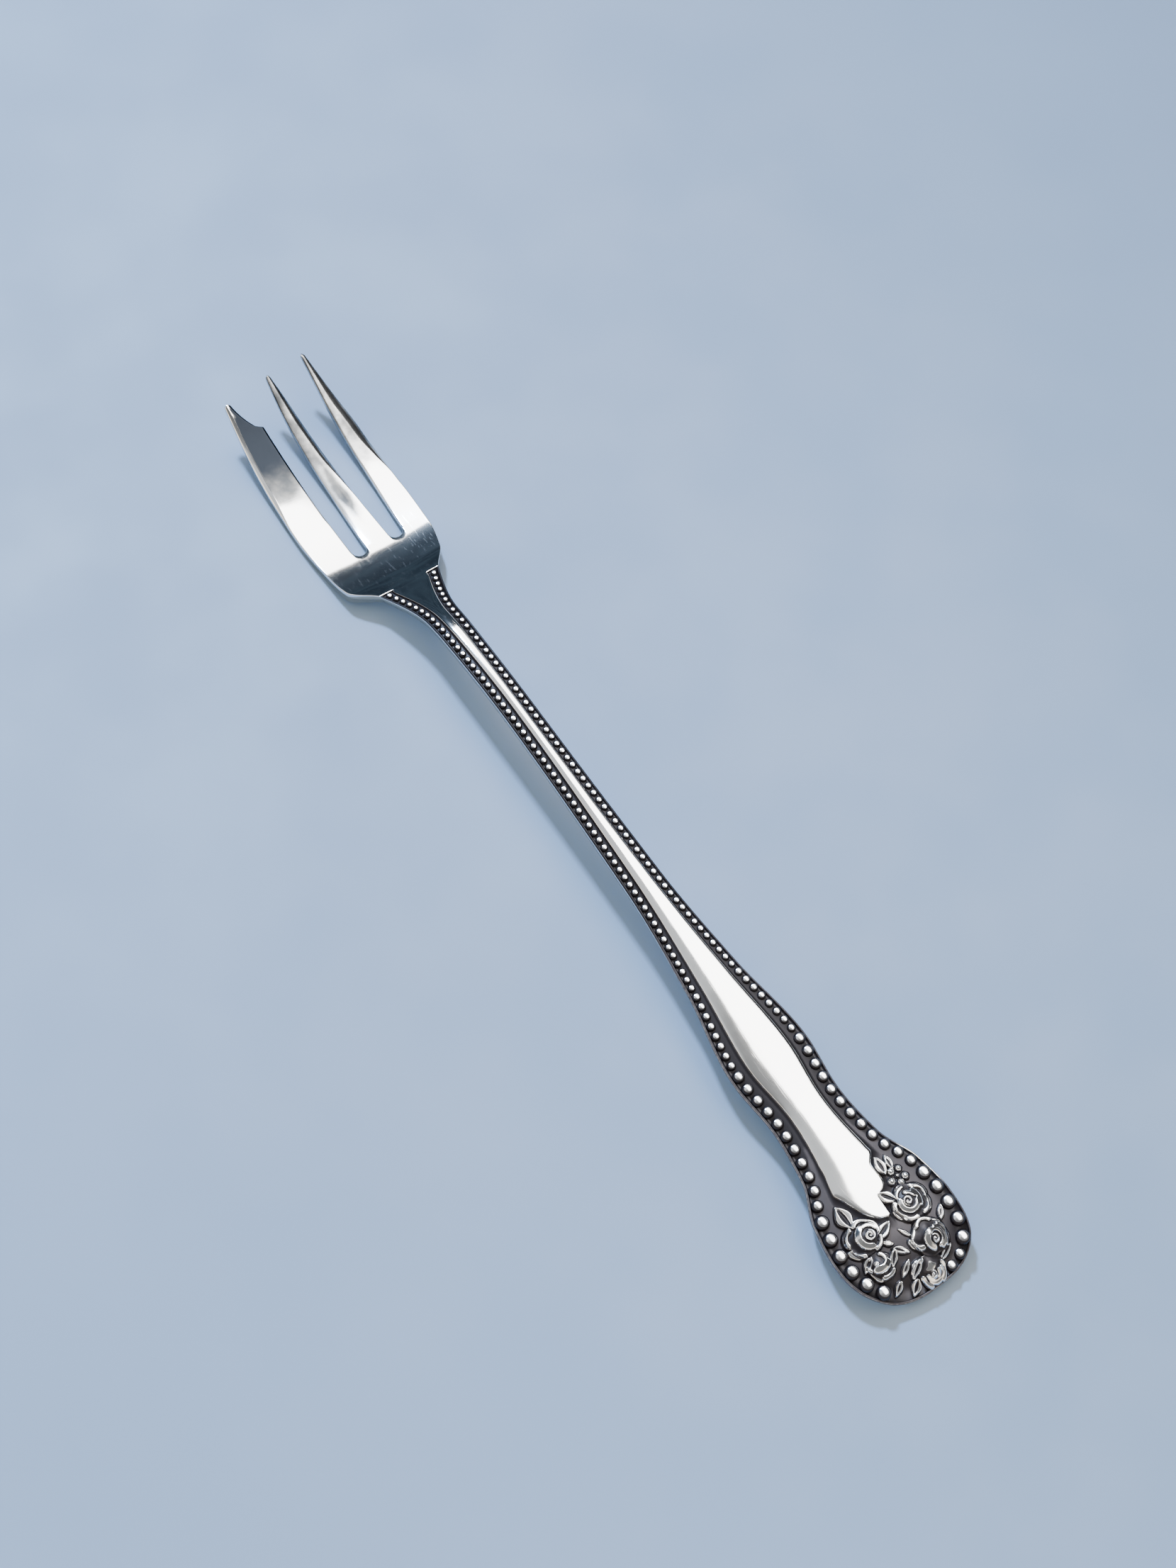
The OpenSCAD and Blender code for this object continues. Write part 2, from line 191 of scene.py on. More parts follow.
# %% Heights
EDGE_Z = Curve([
    (0, EDGE_T), (0.4 * END_L, mix(EDGE_T, WAIST_Z, 0.62)), (END_L, mix(EDGE_T, WAIST_Z, 0.88)),
    (WAIST_L, WAIST_Z), (0.4 * HANDLE_L, mix(WAIST_Z, STEM_Z, 0.42)),
    (0.6 * HANDLE_L, mix(WAIST_Z, STEM_Z, 0.8)), (0.79 * HANDLE_L, STEM_Z),
    (0.9 * HANDLE_L, STEM_Z - 0.8), (HANDLE_L, BOWL_T + 2),
    (HANDLE_L + 3.5, BOWL_T + 0.95), (ROOT_S, BOWL_T + 0.25), (HANDLE_L + 0.4 * HEAD_L, BOWL_T),
    (HANDLE_L + 0.6 * HEAD_L, mix(BOWL_T, POINT_Z, 0.1)),
    (HANDLE_L + 0.8 * HEAD_L, mix(BOWL_T, POINT_Z, 0.4)), (LENGTH, POINT_Z)])
THICKNESS = Curve([
    (0, EDGE_T), (WAIST_L, EDGE_T), (0.6 * HANDLE_L, STEM_T), (0.95 * HANDLE_L, STEM_T),
    (ROOT_S, BOWL_T), (HANDLE_L + 0.45 * HEAD_L, BOWL_T),
    (LENGTH - 0.3 * HEAD_L, mix(BOWL_T, POINT_T, 0.4)), (LENGTH, POINT_T)])
DOME = Curve([(0, 0.1), (END_L, 1.0), (WAIST_L, 0.9), (0.6 * HANDLE_L, 0.5),
              (0.9 * HANDLE_L, 0.4), (HANDLE_L + 4.15, -0.3), (ROOT_S, -0.35), (LENGTH, 0)])


def share_of_width(s, y):
    """0 on the middle line, 1 on the edge."""
    return abs(y) / max(0.01, half_width(s, 1 if y > 0 else -1))


def ground_z(s, y):
    """Height of the sunk ground, or of the plain bowl and tines."""
    return EDGE_Z(s) + DOME(s) * max(0.0, 1 - share_of_width(s, y) ** 2)


def place(s, y, z):
    """From the fork's own millimetres to the frame's metres."""
    return ((s - LENGTH / 2) / 1000, (y + CENTRE_Y) / 1000, z / 1000)


print("stem height:", round(EDGE_Z(90), 2), "mm")

# %% [markdown]
# ## Where the beads run
# The border beads sit in a row inside each edge. Places along an edge are numbered
# by `t`: the distance past the broadest place of the end, and below 0 the way back
# round to the tip. The bead row is walked with straight steps from bead to bead,
# because equal steps in `t` would crowd the beads where the edge curves.

# %% Edge and bead row
END_ARC = END_L * 1.6    # the part of t on a quarter of the round end
RIM_W, RIM_H = 0.3, 0.3
SMALL, MEDIUM, LARGE, BIG = 1.16, 1.34, 1.81, 2.2    # from bead to bead
MEDIUM_N, LARGE_N, LEFT_N, RIGHT_N = 8, 11, 6, 7    # how many of each size
BEAD_FILL = 0.86    # a bead's width as a share of its distance to the next
TIP_SHARE = 0.78    # the last beads on the right are smaller
FIRST_BIG = {1: 0.63 * END_L, -1: 0.4 * END_L}


def edge(t, side):
    """The point (s, y) of the outline at t."""
    if t >= 0:
        return Vector((END_L + t, side * half_width(END_L + t, side)))
    a, bend = math.pi / 2 * max(0.0, 1 + t / END_ARC), 2 / END_POWER[side]
    return Vector((END_L * (1 - math.cos(a) ** bend), side * END_W / 2 * math.sin(a) ** bend))


def inward(t, side):
    """The direction square to the edge at t, into the fork."""
    if t <= 0.01 - END_ARC:
        return Vector((1, 0))
    d = edge(t + 0.05, side) - edge(t - 0.05, side)
    return Vector((d.y, -d.x)) * side / d.length


def inside_rim(size, extra=0.0):
    """How far inside the edge a bead sits when it just clears the rim."""
    return RIM_W + size * BEAD_FILL / 2 + extra


BEAD_INSET = Curve([
    (0, inside_rim(TIP_SHARE * BIG, -0.1)),
    (0.4 * END_L, inside_rim(BIG)), (END_L, inside_rim(BIG)),
    (mix(END_L, WAIST_L, 0.6), inside_rim(LARGE)), (SWELL_L, inside_rim(LARGE)),
    (0.4 * HANDLE_L, inside_rim(SMALL, 0.05)), (HANDLE_L, inside_rim(SMALL, 0.05))])


def row(t, side):
    """The centre of a bead at t, on the ground."""
    e = edge(t, side)
    q = e + BEAD_INSET(e.x) * inward(t, side)
    return Vector((q.x, q.y, ground_z(q.x, q.y)))


def stride(t, side, gap, guess):
    """How far t moves for a straight gap between two beads."""
    for _ in range(5):
        guess *= abs(gap) / (row(t + guess, side) - row(t, side)).length
    return guess


def pitch(k, large_n):
    """The size of the k-th bead on the way from the round end to the head."""
    return LARGE if k < large_n else MEDIUM if k < large_n + MEDIUM_N else SMALL


def beads(side, big_n):
    """All beads of one side as (t, pitch), walked both ways from the first big one."""
    first, large_n = FIRST_BIG[side], LARGE_N if side > 0 else LARGE_N + 1
    found, t = [], first
    sizes = [BIG * (TIP_SHARE if side < 0 and k > big_n - 3 else 1) for k in range(big_n + 1)]
    for p, after in zip(sizes, sizes[1:]):
        found.append((t, p))
        t += stride(t, side, (p + after) / 2, -(p + after) / 2)
    k, t = 0, first + stride(first, side, (BIG + LARGE) / 2, (BIG + LARGE) / 2)
    while t <= HANDLE_L - END_L:
        found.append((t, pitch(k, large_n)))
        gap = (pitch(k, large_n) + pitch(k + 1, large_n)) / 2
        t += stride(t, side, gap, gap)
        k += 1
    return found


ROWS = {1: beads(1, LEFT_N), -1: beads(-1, RIGHT_N)}
print("beads:", len(ROWS[1]), "left,", len(ROWS[-1]), "right")

# %% [markdown]
# ## The polished panel
# The panel is the broad bright strip along the middle. It follows the outline at a
# distance that leaves room for the bead channel, and it ends in a ragged point
# where the flowers begin. They reach further up on the right, so each side has its
# own share of the full width, which is easier to tune than a drawn border.

# %% Panel
PANEL_H, PANEL_END = 0.35, 9.6
GAP = Curve([(WAIST_L, 0.8), (0.5 * HANDLE_L, 0.2)])    # open ground between beads and panel
PANEL_SIDE = mix(END_L, WAIST_L, 0.47)
PANEL_SHARE = {side: Curve([(mix(PANEL_END, PANEL_SIDE, u), v) for u, v in points] + [(WAIST_L, 1)])
               for side, points in {
                   1: [(0, 0), (0.06, 0.18), (0.24, 0.39), (0.65, 0.68), (0.85, 0.92), (1.1, 1)],
                   -1: [(0, 0.06), (0.35, 0.085), (0.5, 0.39), (0.9, 0.55), (1.12, 0.96)]}.items()}


def panel_width(s, side):
    """Half the polished panel's width."""
    k = half_width(s + 0.1, side) - half_width(s - 0.1, side)
    channel = 2 * BEAD_INSET(s) - RIM_W + GAP(s)
    return (half_width(s, side) - channel * math.sqrt(1 + (k / 0.2) ** 2)) * PANEL_SHARE[side](s)


print("panel at the swell:", round(2 * panel_width(SWELL_L, 1), 2), "mm wide")

# %% [markdown]
# ## The body's skin
# A struck fork has a sharp panel, a sunk channel and a thin rim, while its bowl and
# tines are plain. The skin is a net of lines that cross the fork. On the handle
# each line has points on the panel, in the channel and on the rim. Past the
# shoulders the same points follow the tines and slots, so one net covers the fork
# with no seam. A boolean cut is quicker to write, but leaves slivers that show as
# dents in polished metal.

# %% Lines across the handle
HALF = 24    # number of the last point of a half line; the middle is 0
FAN_T = 22 - END_L    # past this t the lines no longer fan out
LIP_TOP, LIP_MID, LIP_FOOT = 0.02, 0.09, 0.06    # the panel's rounded side
# these values also paint shade on the panel's side and on the broad end's wall
BLACK, OPEN_GROUND, END_GROUND = 1.0, 0.75, 0.85    # how deep in oxide a point is


def dressed(s):
    """1 along the handle, 0 past the end of the channels."""
    return 1 - ramp((s - HANDLE_L - 0.15) / 0.3)


def gather(s):
    """1 along the handle, 0 where the points have spread out over the bowl."""
    return 1 - ramp((s - HANDLE_L + 0.5) / 3.5)


def panel_lift(s):
    """The panel flows into the bowl and loses its height there."""
    return PANEL_H * (1 - ramp((s - HANDLE_L) / 12))


def middle_s(t, lead):
    """Where a line starts; round the end the lines fan out."""
    if t >= FAN_T:
        return END_L + t
    return mix(PANEL_END + lead, END_L + FAN_T, (t + END_ARC) / (FAN_T + END_ARC))


def rim_polish(s, side):
    """Only the broad end's right shoulder has been rubbed bright."""
    return ramp((s - 9) / 2) * ramp((17 - s) / 2) if side < 0 else 0.0


def crown(s):
    """The panel is slightly rounded on the stem only."""
    return 0.07 * ramp((s - 45) / 25) * (1 - ramp((s - HANDLE_L + 6) / 6))


def stem_share(s):
    """1 on the stem, where the rim is black and its wall bright."""
    return ramp((s - 42) / 18)


def handle_line(t, side):
    """Points (s, y, lift, hollow) from the middle to one edge of the handle."""
    e, n = edge(t, side), inward(t, side)
    m, ps = Vector((middle_s(t, 0.8), 0)), middle_s(t, 0)
    p = Vector((ps, side * (max(0.01, panel_width(ps, side)) if t > 0.01 - END_ARC else 0)))
    out = (e - m).normalized()
    foot, rim = p + 0.14 * out, e + (RIM_W + 0.08) * n
    black = stem_share(e.x)
    # the panel, and its side down to the ground
    shares = [(k / 8) ** 0.9 for k in range(8)]
    line = [(mix(m, p, u), PANEL_H + crown(ps) * (1 - u * u), 0.0) for u in shares]
    # painted shade: on the stem the panel's rounded side is darkened, so it mirrors no sheen
    line += [(p - 0.05 * out, PANEL_H - LIP_TOP, 0.3 * black),
             (p + 0.01 * out, PANEL_H - LIP_MID, mix(0.15, 0.9, black)),
             (p + 0.07 * out, LIP_FOOT, mix(0.8, BLACK, black)), (foot, 0.0, BLACK)]
    # the ground: black beside the panel and under the beads, dull grey between
    row_width = 2 * (BEAD_INSET(e.x) - RIM_W) + 0.15
    ground = mix(END_GROUND, OPEN_GROUND, ramp((e.x - 12) / 6))
    for k in range(1, 7):
        q = mix(foot, rim, k / 6)
        open_share = ramp(((q - rim).length - row_width) / 0.3)
        line.append((q, 0.0, mix(BLACK, ground, open_share)))
    # the rim, and the upper part of the wall below it
    bright = 1 - rim_polish(e.x, side)
    rim = [(RIM_W + 0.02, 0.5 * RIM_H, 1.0), (RIM_W - 0.05, RIM_H, 0.4 + 0.5 * bright),
           (0.5 * RIM_W, RIM_H, 0.7 * bright), (0.08, RIM_H - 0.02, 0.6 * bright),
           (0.03, RIM_H - 0.06, 0.6 * bright)]
    line += [(e + d * n, lift, mix(dark, BLACK, black)) for d, lift, dark in rim]
    # painted shade: the wall is dark at the broad end, where shadow falls beside it, and bright on
    # the stem
    wall = mix(0.7, 0.15, black)
    line += [(e + 0.008 * n, RIM_H - 0.12, wall), (e.copy(), RIM_H - 0.2, wall)]
    return [(q.x, q.y, lift, dark) for q, lift, dark in line]


print("points on a half line:", len(handle_line(20, 1)))

# %% [markdown]
# ## Tines and slots
# The slots end in a half circle, and the broad tine has a hollow at its end that
# works as a small cutting edge. That tine is bevelled on both sides, the slender
# ones only on the right, and every bevel fades towards the bowl. A bevel mirrors
# another part of the room, so it shows as a dark or bright line even where it is
# narrower than half a millimetre. A Bevel modifier would cut all edges alike, so a
# rule lowers the points beside each edge instead.

# %% Lines across the head
SLOT_R = SLOT_W / 2
SLOT_S = ROOT_S + SLOT_R    # centre of the half circle that ends a slot
MID_EDGE, SLOT_EDGE = 5, 11       # points of a half line at the two sides of a slot
MIDDLE_EDGE = Curve([
    (0, 0.5), (0.3, 0.425), (0.58, 0.325), (0.81, 0.23), (1, POINT_W / MIDDLE_W / 2)])
ROUND_R = 0.16    # radius of the worn edges
BEVEL_SLOPE, BEVEL_S = math.tan(math.radians(30)), 127
NARROW = Curve([(BEVEL_S, 0.12), (LENGTH, 0.12)])
# for each tine, the bevel's width along s: (on its left edge, on its right edge)
BEVELS = {
    1: (Curve([(129, 0.15), (136, 0.55), (LENGTH, 0.35)]),
        Curve([(BEVEL_S, 0.3), (LENGTH, 0.3)])),
    0: (NARROW, Curve([(129, 0.15), (133, 0.4), (138, 0.78), (143, 0.8), (LENGTH, 0.3)])),
    -1: (NARROW, Curve([(130, 0.2), (134, 0.68), (138, 1.0), (142, 0.95), (146, 0.65),
                        (LENGTH, 0.25)]))}


def tine_u(s):
    """0 up to the slots' roots, 1 at the points."""
    return max(0.0, (s - ROOT_S) / (LENGTH - ROOT_S))


def slot_in(s):
    """Distance from the middle line to the near side of a slot."""
    return MIDDLE_W * MIDDLE_EDGE(tine_u(s))


def slot_out(s, side):
    """Distance from the middle line to the far side of a slot."""
    near = MIDDLE_W / 2 + SLOT_W
    if side < 0:
        return mix(near, half_width(LENGTH, side) - POINT_W, tine_u(s))
    straight = near + 0.2 * tine_u(s)
    hollow = (half_width(LENGTH, 1) - POINT_W - NOTCH_R
              + math.sqrt(max(0.0, NOTCH_R ** 2 - (LENGTH - s) ** 2)))
    return mix(straight, max(straight, hollow), ramp((s - LENGTH + NOTCH_L + 0.15) / 0.4))


def spread(width, bevel):
    """Distances across an outer tine, from its inner to its outer edge."""
    start, end = ([0, 0.012, 0.05, 0.5 * b, 0.94 * b, 1.06 * b] for b in bevel)
    hug = min(0.15, (width - start[-1] - end[-1]) / 3)
    return start + [start[-1] + hug, width - end[-1] - hug] + [width - d for d in reversed(end)]


def tine_bevel(tine, faces_right, s, width):
    """Width of a bevel; tine is 1 for the broad one, 0 for the middle and -1 for the right."""
    limit = 0.42 if tine == 0 else 0.55 if faces_right else 0.25
    return min(BEVELS[tine][faces_right](s), limit * width)


def head_points(s, side):
    """Distances from the middle line of the points of half a line."""
    w = half_width(s, side)
    share = min(1.0, w / half_width(ROOT_S, side)) if s < ROOT_S else 1.0
    a, b = slot_in(s) * share, slot_out(s, side) * share
    bevel = tine_bevel(0, side < 0, s, 2 * a)
    ys = [0] + [a - d for d in (1.12 * bevel, 0.92 * bevel, 0.5 * bevel, 0.03, 0.0)]
    ys += [mix(a, b, (1 - math.cos(math.pi * k / 6)) / 2) for k in range(1, 6)]
    bevels = [tine_bevel(side, right, s, w - b) for right in (side > 0, side < 0)]
    return ys + [b + d for d in spread(w - b, bevels)]


def to_edge(s, y):
    """Distance from a point of the head to the nearest edge of metal."""
    side, y = (1, y) if y > 0 else (-1, -y)
    near = half_width(s, side) - y
    a, b = slot_in(s), slot_out(s, side)
    if s < SLOT_S:
        centre = MIDDLE_W / 2 + SLOT_R
        return min(near, max(0.0, math.hypot(s - SLOT_S, y - centre) - SLOT_R))
    return max(0.0, min(near, LENGTH - s, a - y if y < (a + b) / 2 else y - b))


def worn_edge(d, r):
    """How far a rounded edge lies below its corner, at the distance d from it."""
    return 0.0 if d >= r else r - math.sqrt(max(0.0, r * r - (r - d) ** 2))


def head_drop(s, y):
    """How far edges and bevels lie under the plain top of the head."""
    fade = ramp((s - BEVEL_S) / 4)
    side = 1 if y > 0 else -1
    a, b, w = slot_in(s), slot_out(s, side), half_width(s, side)
    if abs(y) < (a + b) / 2:
        tine, width, to_right, to_left = 0, 2 * a, a + y, a - y
    elif side > 0:
        tine, width, to_right, to_left = 1, w - b, y - b, w - y
    else:
        tine, width, to_right, to_left = -1, w - b, w + y, -y - b
    left_cut = tine_bevel(tine, False, s, width) - to_left if tine == 1 else 0.0
    cut = max(tine_bevel(tine, True, s, width) - to_right, left_cut, 0.0)
    return worn_edge(to_edge(s, y), ROUND_R) + fade * BEVEL_SLOPE * cut


print("slot at its root:", round(slot_out(SLOT_S, 1) - slot_in(SLOT_S), 2), "mm")

# %% [markdown]
# ## From the channel to the bowl
# Rows of points run from the tip of the handle to the head. Past the shoulders each
# row blends from the handle's points to the head's, so channel and rim run out as
# they do under a die cutter's graver. Each point also keeps how deep in the channel
# it lies, which the material uses to blacken the ground with oxide and leave the panel
# bright. The same value paints shade on the panel's side on the stem and on the wall
# of the broad end.
#
# A fork is bent and filed by hand after it is struck, so its tines do not stand in
# perfect order. The lines are first made in plain order and then moved over by up
# to 0.6 mm, so the drawing stays easy to read.

# %% Rows of the handle and the shoulders
LEAN_LEFT = Curve([(HANDLE_L, 0), (HANDLE_L + 3, 0.12), (ROOT_S, 0.6), (130, 0.63),
                   (137, 0.48), (145, 0.3), (LENGTH, 0.1)])
LEAN_RIGHT = Curve([(HANDLE_L, 0), (HANDLE_L + 3, 0.1), (ROOT_S, 0.56), (136, 0.56),
                    (141, 0.5), (145, 0.4), (LENGTH, 0.2)])
LEAN_OUTER = Curve([(128, 0), (135, 0.2), (140, 0.43), (145, 0.25), (LENGTH, 0)])


def leant(line):
    """Moves a line sideways, to where the photographed tines stand."""
    at_s = line[0][0]
    left, right = LEAN_LEFT(at_s), LEAN_RIGHT(at_s)
    at = [line[c][1] for c in (-HALF, -SLOT_EDGE, -MID_EDGE, MID_EDGE, SLOT_EDGE, HALF)]
    by = [right + LEAN_OUTER(at_s), left, right, left, right, left]
    return {c: (s, y - float(np.interp(y, at, by)), z, dark)
            for c, (s, y, z, dark) in line.items()}


def handle_rows():
    """Rows {number of the point: (s, y, z, hollow)} round the end and along the stem."""
    rows = []
    ends = [END_ARC * (i / 60 - 1) for i in range(60)]
    stem = [(HANDLE_L - END_L) * i / 210 for i in range(210)]
    for t in ends + stem:
        line = {}
        for side in (1, -1):
            for k, (s, y, lift, dark) in enumerate(handle_line(t, side)):
                line[side * k] = (s, y, ground_z(s, y) + lift, dark)
        rows.append(line)
    return rows


def shoulder_row(s):
    """A row past the shoulders, where channel and rim run out into the bowl."""
    line, g, near = {}, dressed(s), gather(s)
    for side in (1, -1):
        plain = head_points(s, side)
        worn = handle_line(s - END_L, side)
        for k in range(HALF + 1):
            y = mix(side * plain[k], worn[k][1], near)
            z = (ground_z(s, y) + mix(panel_lift(s), worn[k][2], g)
                 - (1 - g) * head_drop(s, y))
            line[side * k] = (s, y, z, worn[k][3] * min(1.0, 3 * g))
    return leant(line)


rows = handle_rows()
rows += [shoulder_row(HANDLE_L + 0.05 * i) for i in range(12)]
rows += [shoulder_row(HANDLE_L + 0.6 + 0.2 * i) for i in range(18)]
print("rows up to the bowl:", len(rows))

# %% [markdown]
# ## Slots and points
# A slot could be cut with a boolean, but its round root would meet the net at odd
# angles. Instead the next rows close in on the half circles at the slots' roots,
# and the rows after them leave the slots out. The last rows draw together and dip,
# which rounds off the points. The tines' lengths differ mostly near the points, so
# the slots' roots stay in place.

# %% Rows of the head
TINE_REACH = {1: -1.4, 0: -0.3, -1: 0.35}     # how much longer each tine is than drawn
TINE_ROWS, POINT_ROUND = 84, 0.3


def slot_rows(s_from, count):
    """Rows that close in on the half circles at the roots of the slots."""
    rows = []
    for i in range(1, count + 1):
        f = i / count if i < count - 3 else 1 - (count - i) ** 2 * 0.005
        line = {}
        for side in (1, -1):
            for k in range(HALF + 1):
                v = -math.cos(math.pi * (k - MID_EDGE) / 6) if MID_EDGE <= k <= SLOT_EDGE else 1
                s = mix(s_from, SLOT_S - SLOT_R * math.sqrt(max(0.0, 1 - v * v)), f)
                y = head_points(s, side)[k]
                if MID_EDGE < k < SLOT_EDGE:
                    y = mix(y, MIDDLE_W / 2 + SLOT_R * (1 + v), f)
                y *= side
                line[side * k] = (s, y, ground_z(s, y) + panel_lift(s) - head_drop(s, y), 0.0)
        rows.append(leant(line))
    return rows


def tine_rows():
    """Rows of the three tines; the last ones round off the points."""
    rows = []
    for i in range(1, TINE_ROWS + 1):
        s = mix(SLOT_S, LENGTH, 1 - (1 - i / TINE_ROWS) ** 1.15)
        past = max(0.0, (s - LENGTH + POINT_ROUND) / POINT_ROUND)
        close = math.sqrt(max(0.06, 1 - past ** 2))
        share = ((s - SLOT_S) / (LENGTH - SLOT_S)) ** 4
        line = {}
        for side in (1, -1):
            for columns, tine in ((range(MID_EDGE + 1), 0), (range(SLOT_EDGE, HALF + 1), side)):
                at = s + TINE_REACH[tine] * share
                drawn = min(at, LENGTH)
                ys = head_points(drawn, side)
                centre = (ys[SLOT_EDGE] + ys[HALF]) / 2 if tine else 0.0
                for k in columns:
                    z = ground_z(drawn, side * mix(centre, ys[k], close)) + panel_lift(s)
                    z += 0.4 * (at - drawn) - head_drop(drawn, side * ys[k])
                    line[side * k] = (at, side * mix(centre, ys[k], close), z, 0.0)
        rows.append(leant(line))
    return rows


rows += slot_rows(HANDLE_L + 4.2, 22) + tine_rows()
print("rows in all:", len(rows))

# %% [markdown]
# ## Underside and walls
# The metal is thick at the stem and thin at the points, and a Solidify modifier
# would make it the same everywhere. So the underside uses the same net as the top,
# lower by the metal's own thickness, and every open border of the net gets a wall
# down to it. Both share their points' order, so the body is closed by construction.
# The back is not seen in the photograph and stays plain and clean.

# %% Close the skin
def under_z(s, y):
    """Height of the underside, which rounds up a little towards the edges."""
    round_up = 0.24 * gather(s) * ramp((s - 8) / 12) * min(1.0, share_of_width(s, y)) ** 3
    return EDGE_Z(s) - THICKNESS(s) * (1 - round_up)


def tucked(line, side):
    """Draws a line's points in a little, for the handle's narrower underside."""
    (ms, my, _, _), (es, ey, _, _) = line[0], line[side * HALF]
    share = UNDER_ROUND * gather(es) / max(1.0, math.hypot(es - ms, ey - my))
    return lambda s, y: (mix(s, ms, share), mix(y, my, share))


def back_shade(s, y):
    """The unseen back is clean; only the foot of the handle's wall gets painted shade."""
    near_edge = max(share_of_width(s, y), 1 - s / 6)
    wall = mix(0.5, 0.15, stem_share(s)) * gather(s)
    return mix(0.1, wall, ramp((near_edge - 0.8) / 0.1))


def join_rows(rows):
    """The net's points, oxide and shade values, places below, and top faces."""
    verts, hollow, low, index = [], [], [], []
    for r, line in enumerate(rows):
        names = {}
        tuck = {side: tucked(line, side) for side in (1, -1)}
        for c in sorted(line):
            if r == 0 and c < 0:
                continue    # at the tip both halves share one line
            s, y, z, dark = line[c]
            names[c] = len(verts)
            verts.append((s, y, z))
            hollow.append(dark)
            low.append(tuck[1 if c >= 0 else -1](s, y))
        index.append(names)
    index[0].update({-c: i for c, i in list(index[0].items())})
    top = []
    for a, b in zip(index, index[1:]):
        for c in range(-HALF, HALF):
            if all(c + d in line for line in (a, b) for d in (0, 1)):
                face = [a[c], b[c], b[c + 1], a[c + 1]]
                top.append([v for i, v in enumerate(face) if v not in face[:i]])
    return verts, hollow, low, top


def close_skin(verts, hollow, low, top):
    """Adds the underside and a wall below every open border of the net."""
    n = len(verts)
    used = dict.fromkeys(pair for face in top for pair in zip(face, face[1:] + face[:1]))
    border = [(a, b) for a, b in used if (b, a) not in used]
    under = [(x, y, min(verts[i][2] - 0.3, under_z(x, y))) for i, (x, y) in enumerate(low)]
    faces = top + [[v + n for v in reversed(f)] for f in top]
    faces += [[b, a, a + n, b + n] for a, b in border]
    return verts + under, hollow + [back_shade(s, y) for s, y, _ in under], faces


verts, hollow, low, top = join_rows(rows)
verts, hollow, faces = close_skin(verts, hollow, low, top)
print("top faces:", len(top), "all faces:", len(faces))

# %% [markdown]
# ## The skin as a piece
# The skin becomes one smooth mesh. Besides the oxide and shade value each point gets
# a film value: tarnish and a painted dark reflection on the upper tines, most on the
# broad one, and a dark streak along the middle tine, while the edge that fingers and
# cloth rub stays clean. The film lies only on the face. Values on points follow the
# form exactly, where a painted picture would need to be fitted.

# %% Make the skin
def make_mesh(name, verts, faces, masks):
    """A smooth mesh in the shared frame, with masks of one value per point."""
    mesh = bpy.data.meshes.new(name)
    mesh.from_pydata([place(*v) for v in verts], [], faces)
    for mask, values in masks.items():
        layer = mesh.attributes.new(mask, "FLOAT", "POINT")
        layer.data.foreach_set("value", values)
    mesh.polygons.foreach_set("use_smooth", [True] * len(mesh.polygons))
    mesh.update()
    print(name, len(verts), "points,", len(faces), "faces")
    return add_object(name, mesh)


def tarnish_and_reflection_at(s, y):
    """Where the film is heavy: tarnish and a painted dark reflection on the upper tines, most on
    the broad one.
    """
    if y > 2.6:     # the broad tine
        # tarnish and painted dark reflection on the broad tine; its left edge stays clean
        edge_y = half_width(min(s, LENGTH), 1) - LEAN_LEFT(s)
        rubbed = ramp((y - edge_y + 0.65) / 0.15)
        return 2.0 * ramp((s - 126.5) / 19.5) * (1 - 0.9 * rubbed)
    # tarnish and painted dark reflection on the upper middle and right tines, and a dark streak
    # along the middle tine
    dark_streak = math.exp(-((s - 130.5) / 4.5) ** 2 - ((y + 0.45) / 0.5) ** 2)
    return 0.62 * ramp((s - 127) / 13) + 1.0 * dark_streak


film_and_reflection = [tarnish_and_reflection_at(s, y) for s, y, _ in verts[:len(low)]] + [0.0] * len(low)
skin = make_mesh("fork_skin", verts, faces, {"hollow": hollow, "tarnish_and_reflection": film_and_reflection})

# %% [markdown]
# ## Round beads
# Each bead is a small dome with a worn, bright top. Its outer part is painted dark:
# oxide where the black of the channel creeps up its foot, and painted shade that
# keeps the bright top small, most near the bowl. A sphere object for each bead would
# look the same, but so many objects are slow to handle, so all beads are one mesh of
# ring-by-ring nets.

# %% Beads
RINGS, AROUND = 9, 18
BEAD_RISE, FLATNESS = 0.8, 2.6    # height as a share of the radius; 2 would be a plain dome


def bead_net(centre, radius, verts, faces, hollow):
    """Adds one dome with a worn, flattened top and painted shade round it; its foot lies under the
    ground.
    """
    start = len(verts)
    # painted shade: outside this share of the radius the bead is painted dark, more of it near the
    # bowl
    bright = 0.54 if radius > 0.55 else mix(0.52, 0.3, ramp((centre.x - 92) / 12))
    for i in range(RINGS):
        share = 1 - (i / RINGS) ** 1.4
        rise = BEAD_RISE * (1 - share ** FLATNESS) ** (1 / FLATNESS) if i else -0.25
        for j in range(AROUND):
            b = 2 * math.pi * j / AROUND
            verts.append((centre.x + radius * share * math.cos(b),
                          centre.y + radius * share * math.sin(b), centre.z + rise * radius))
            hollow.append(ramp((share - bright) / 0.2))
    verts.append((centre.x, centre.y, centre.z + BEAD_RISE * radius))
    hollow.append(0.0)
    for i in range(RINGS - 1):
        for j in range(AROUND):
            a, b = start + i * AROUND + j, start + i * AROUND + (j + 1) % AROUND
            faces.append([a, b, b + AROUND, a + AROUND])
    last = start + (RINGS - 1) * AROUND
    faces += [[last + j, last + (j + 1) % AROUND, len(verts) - 1] for j in range(AROUND)]


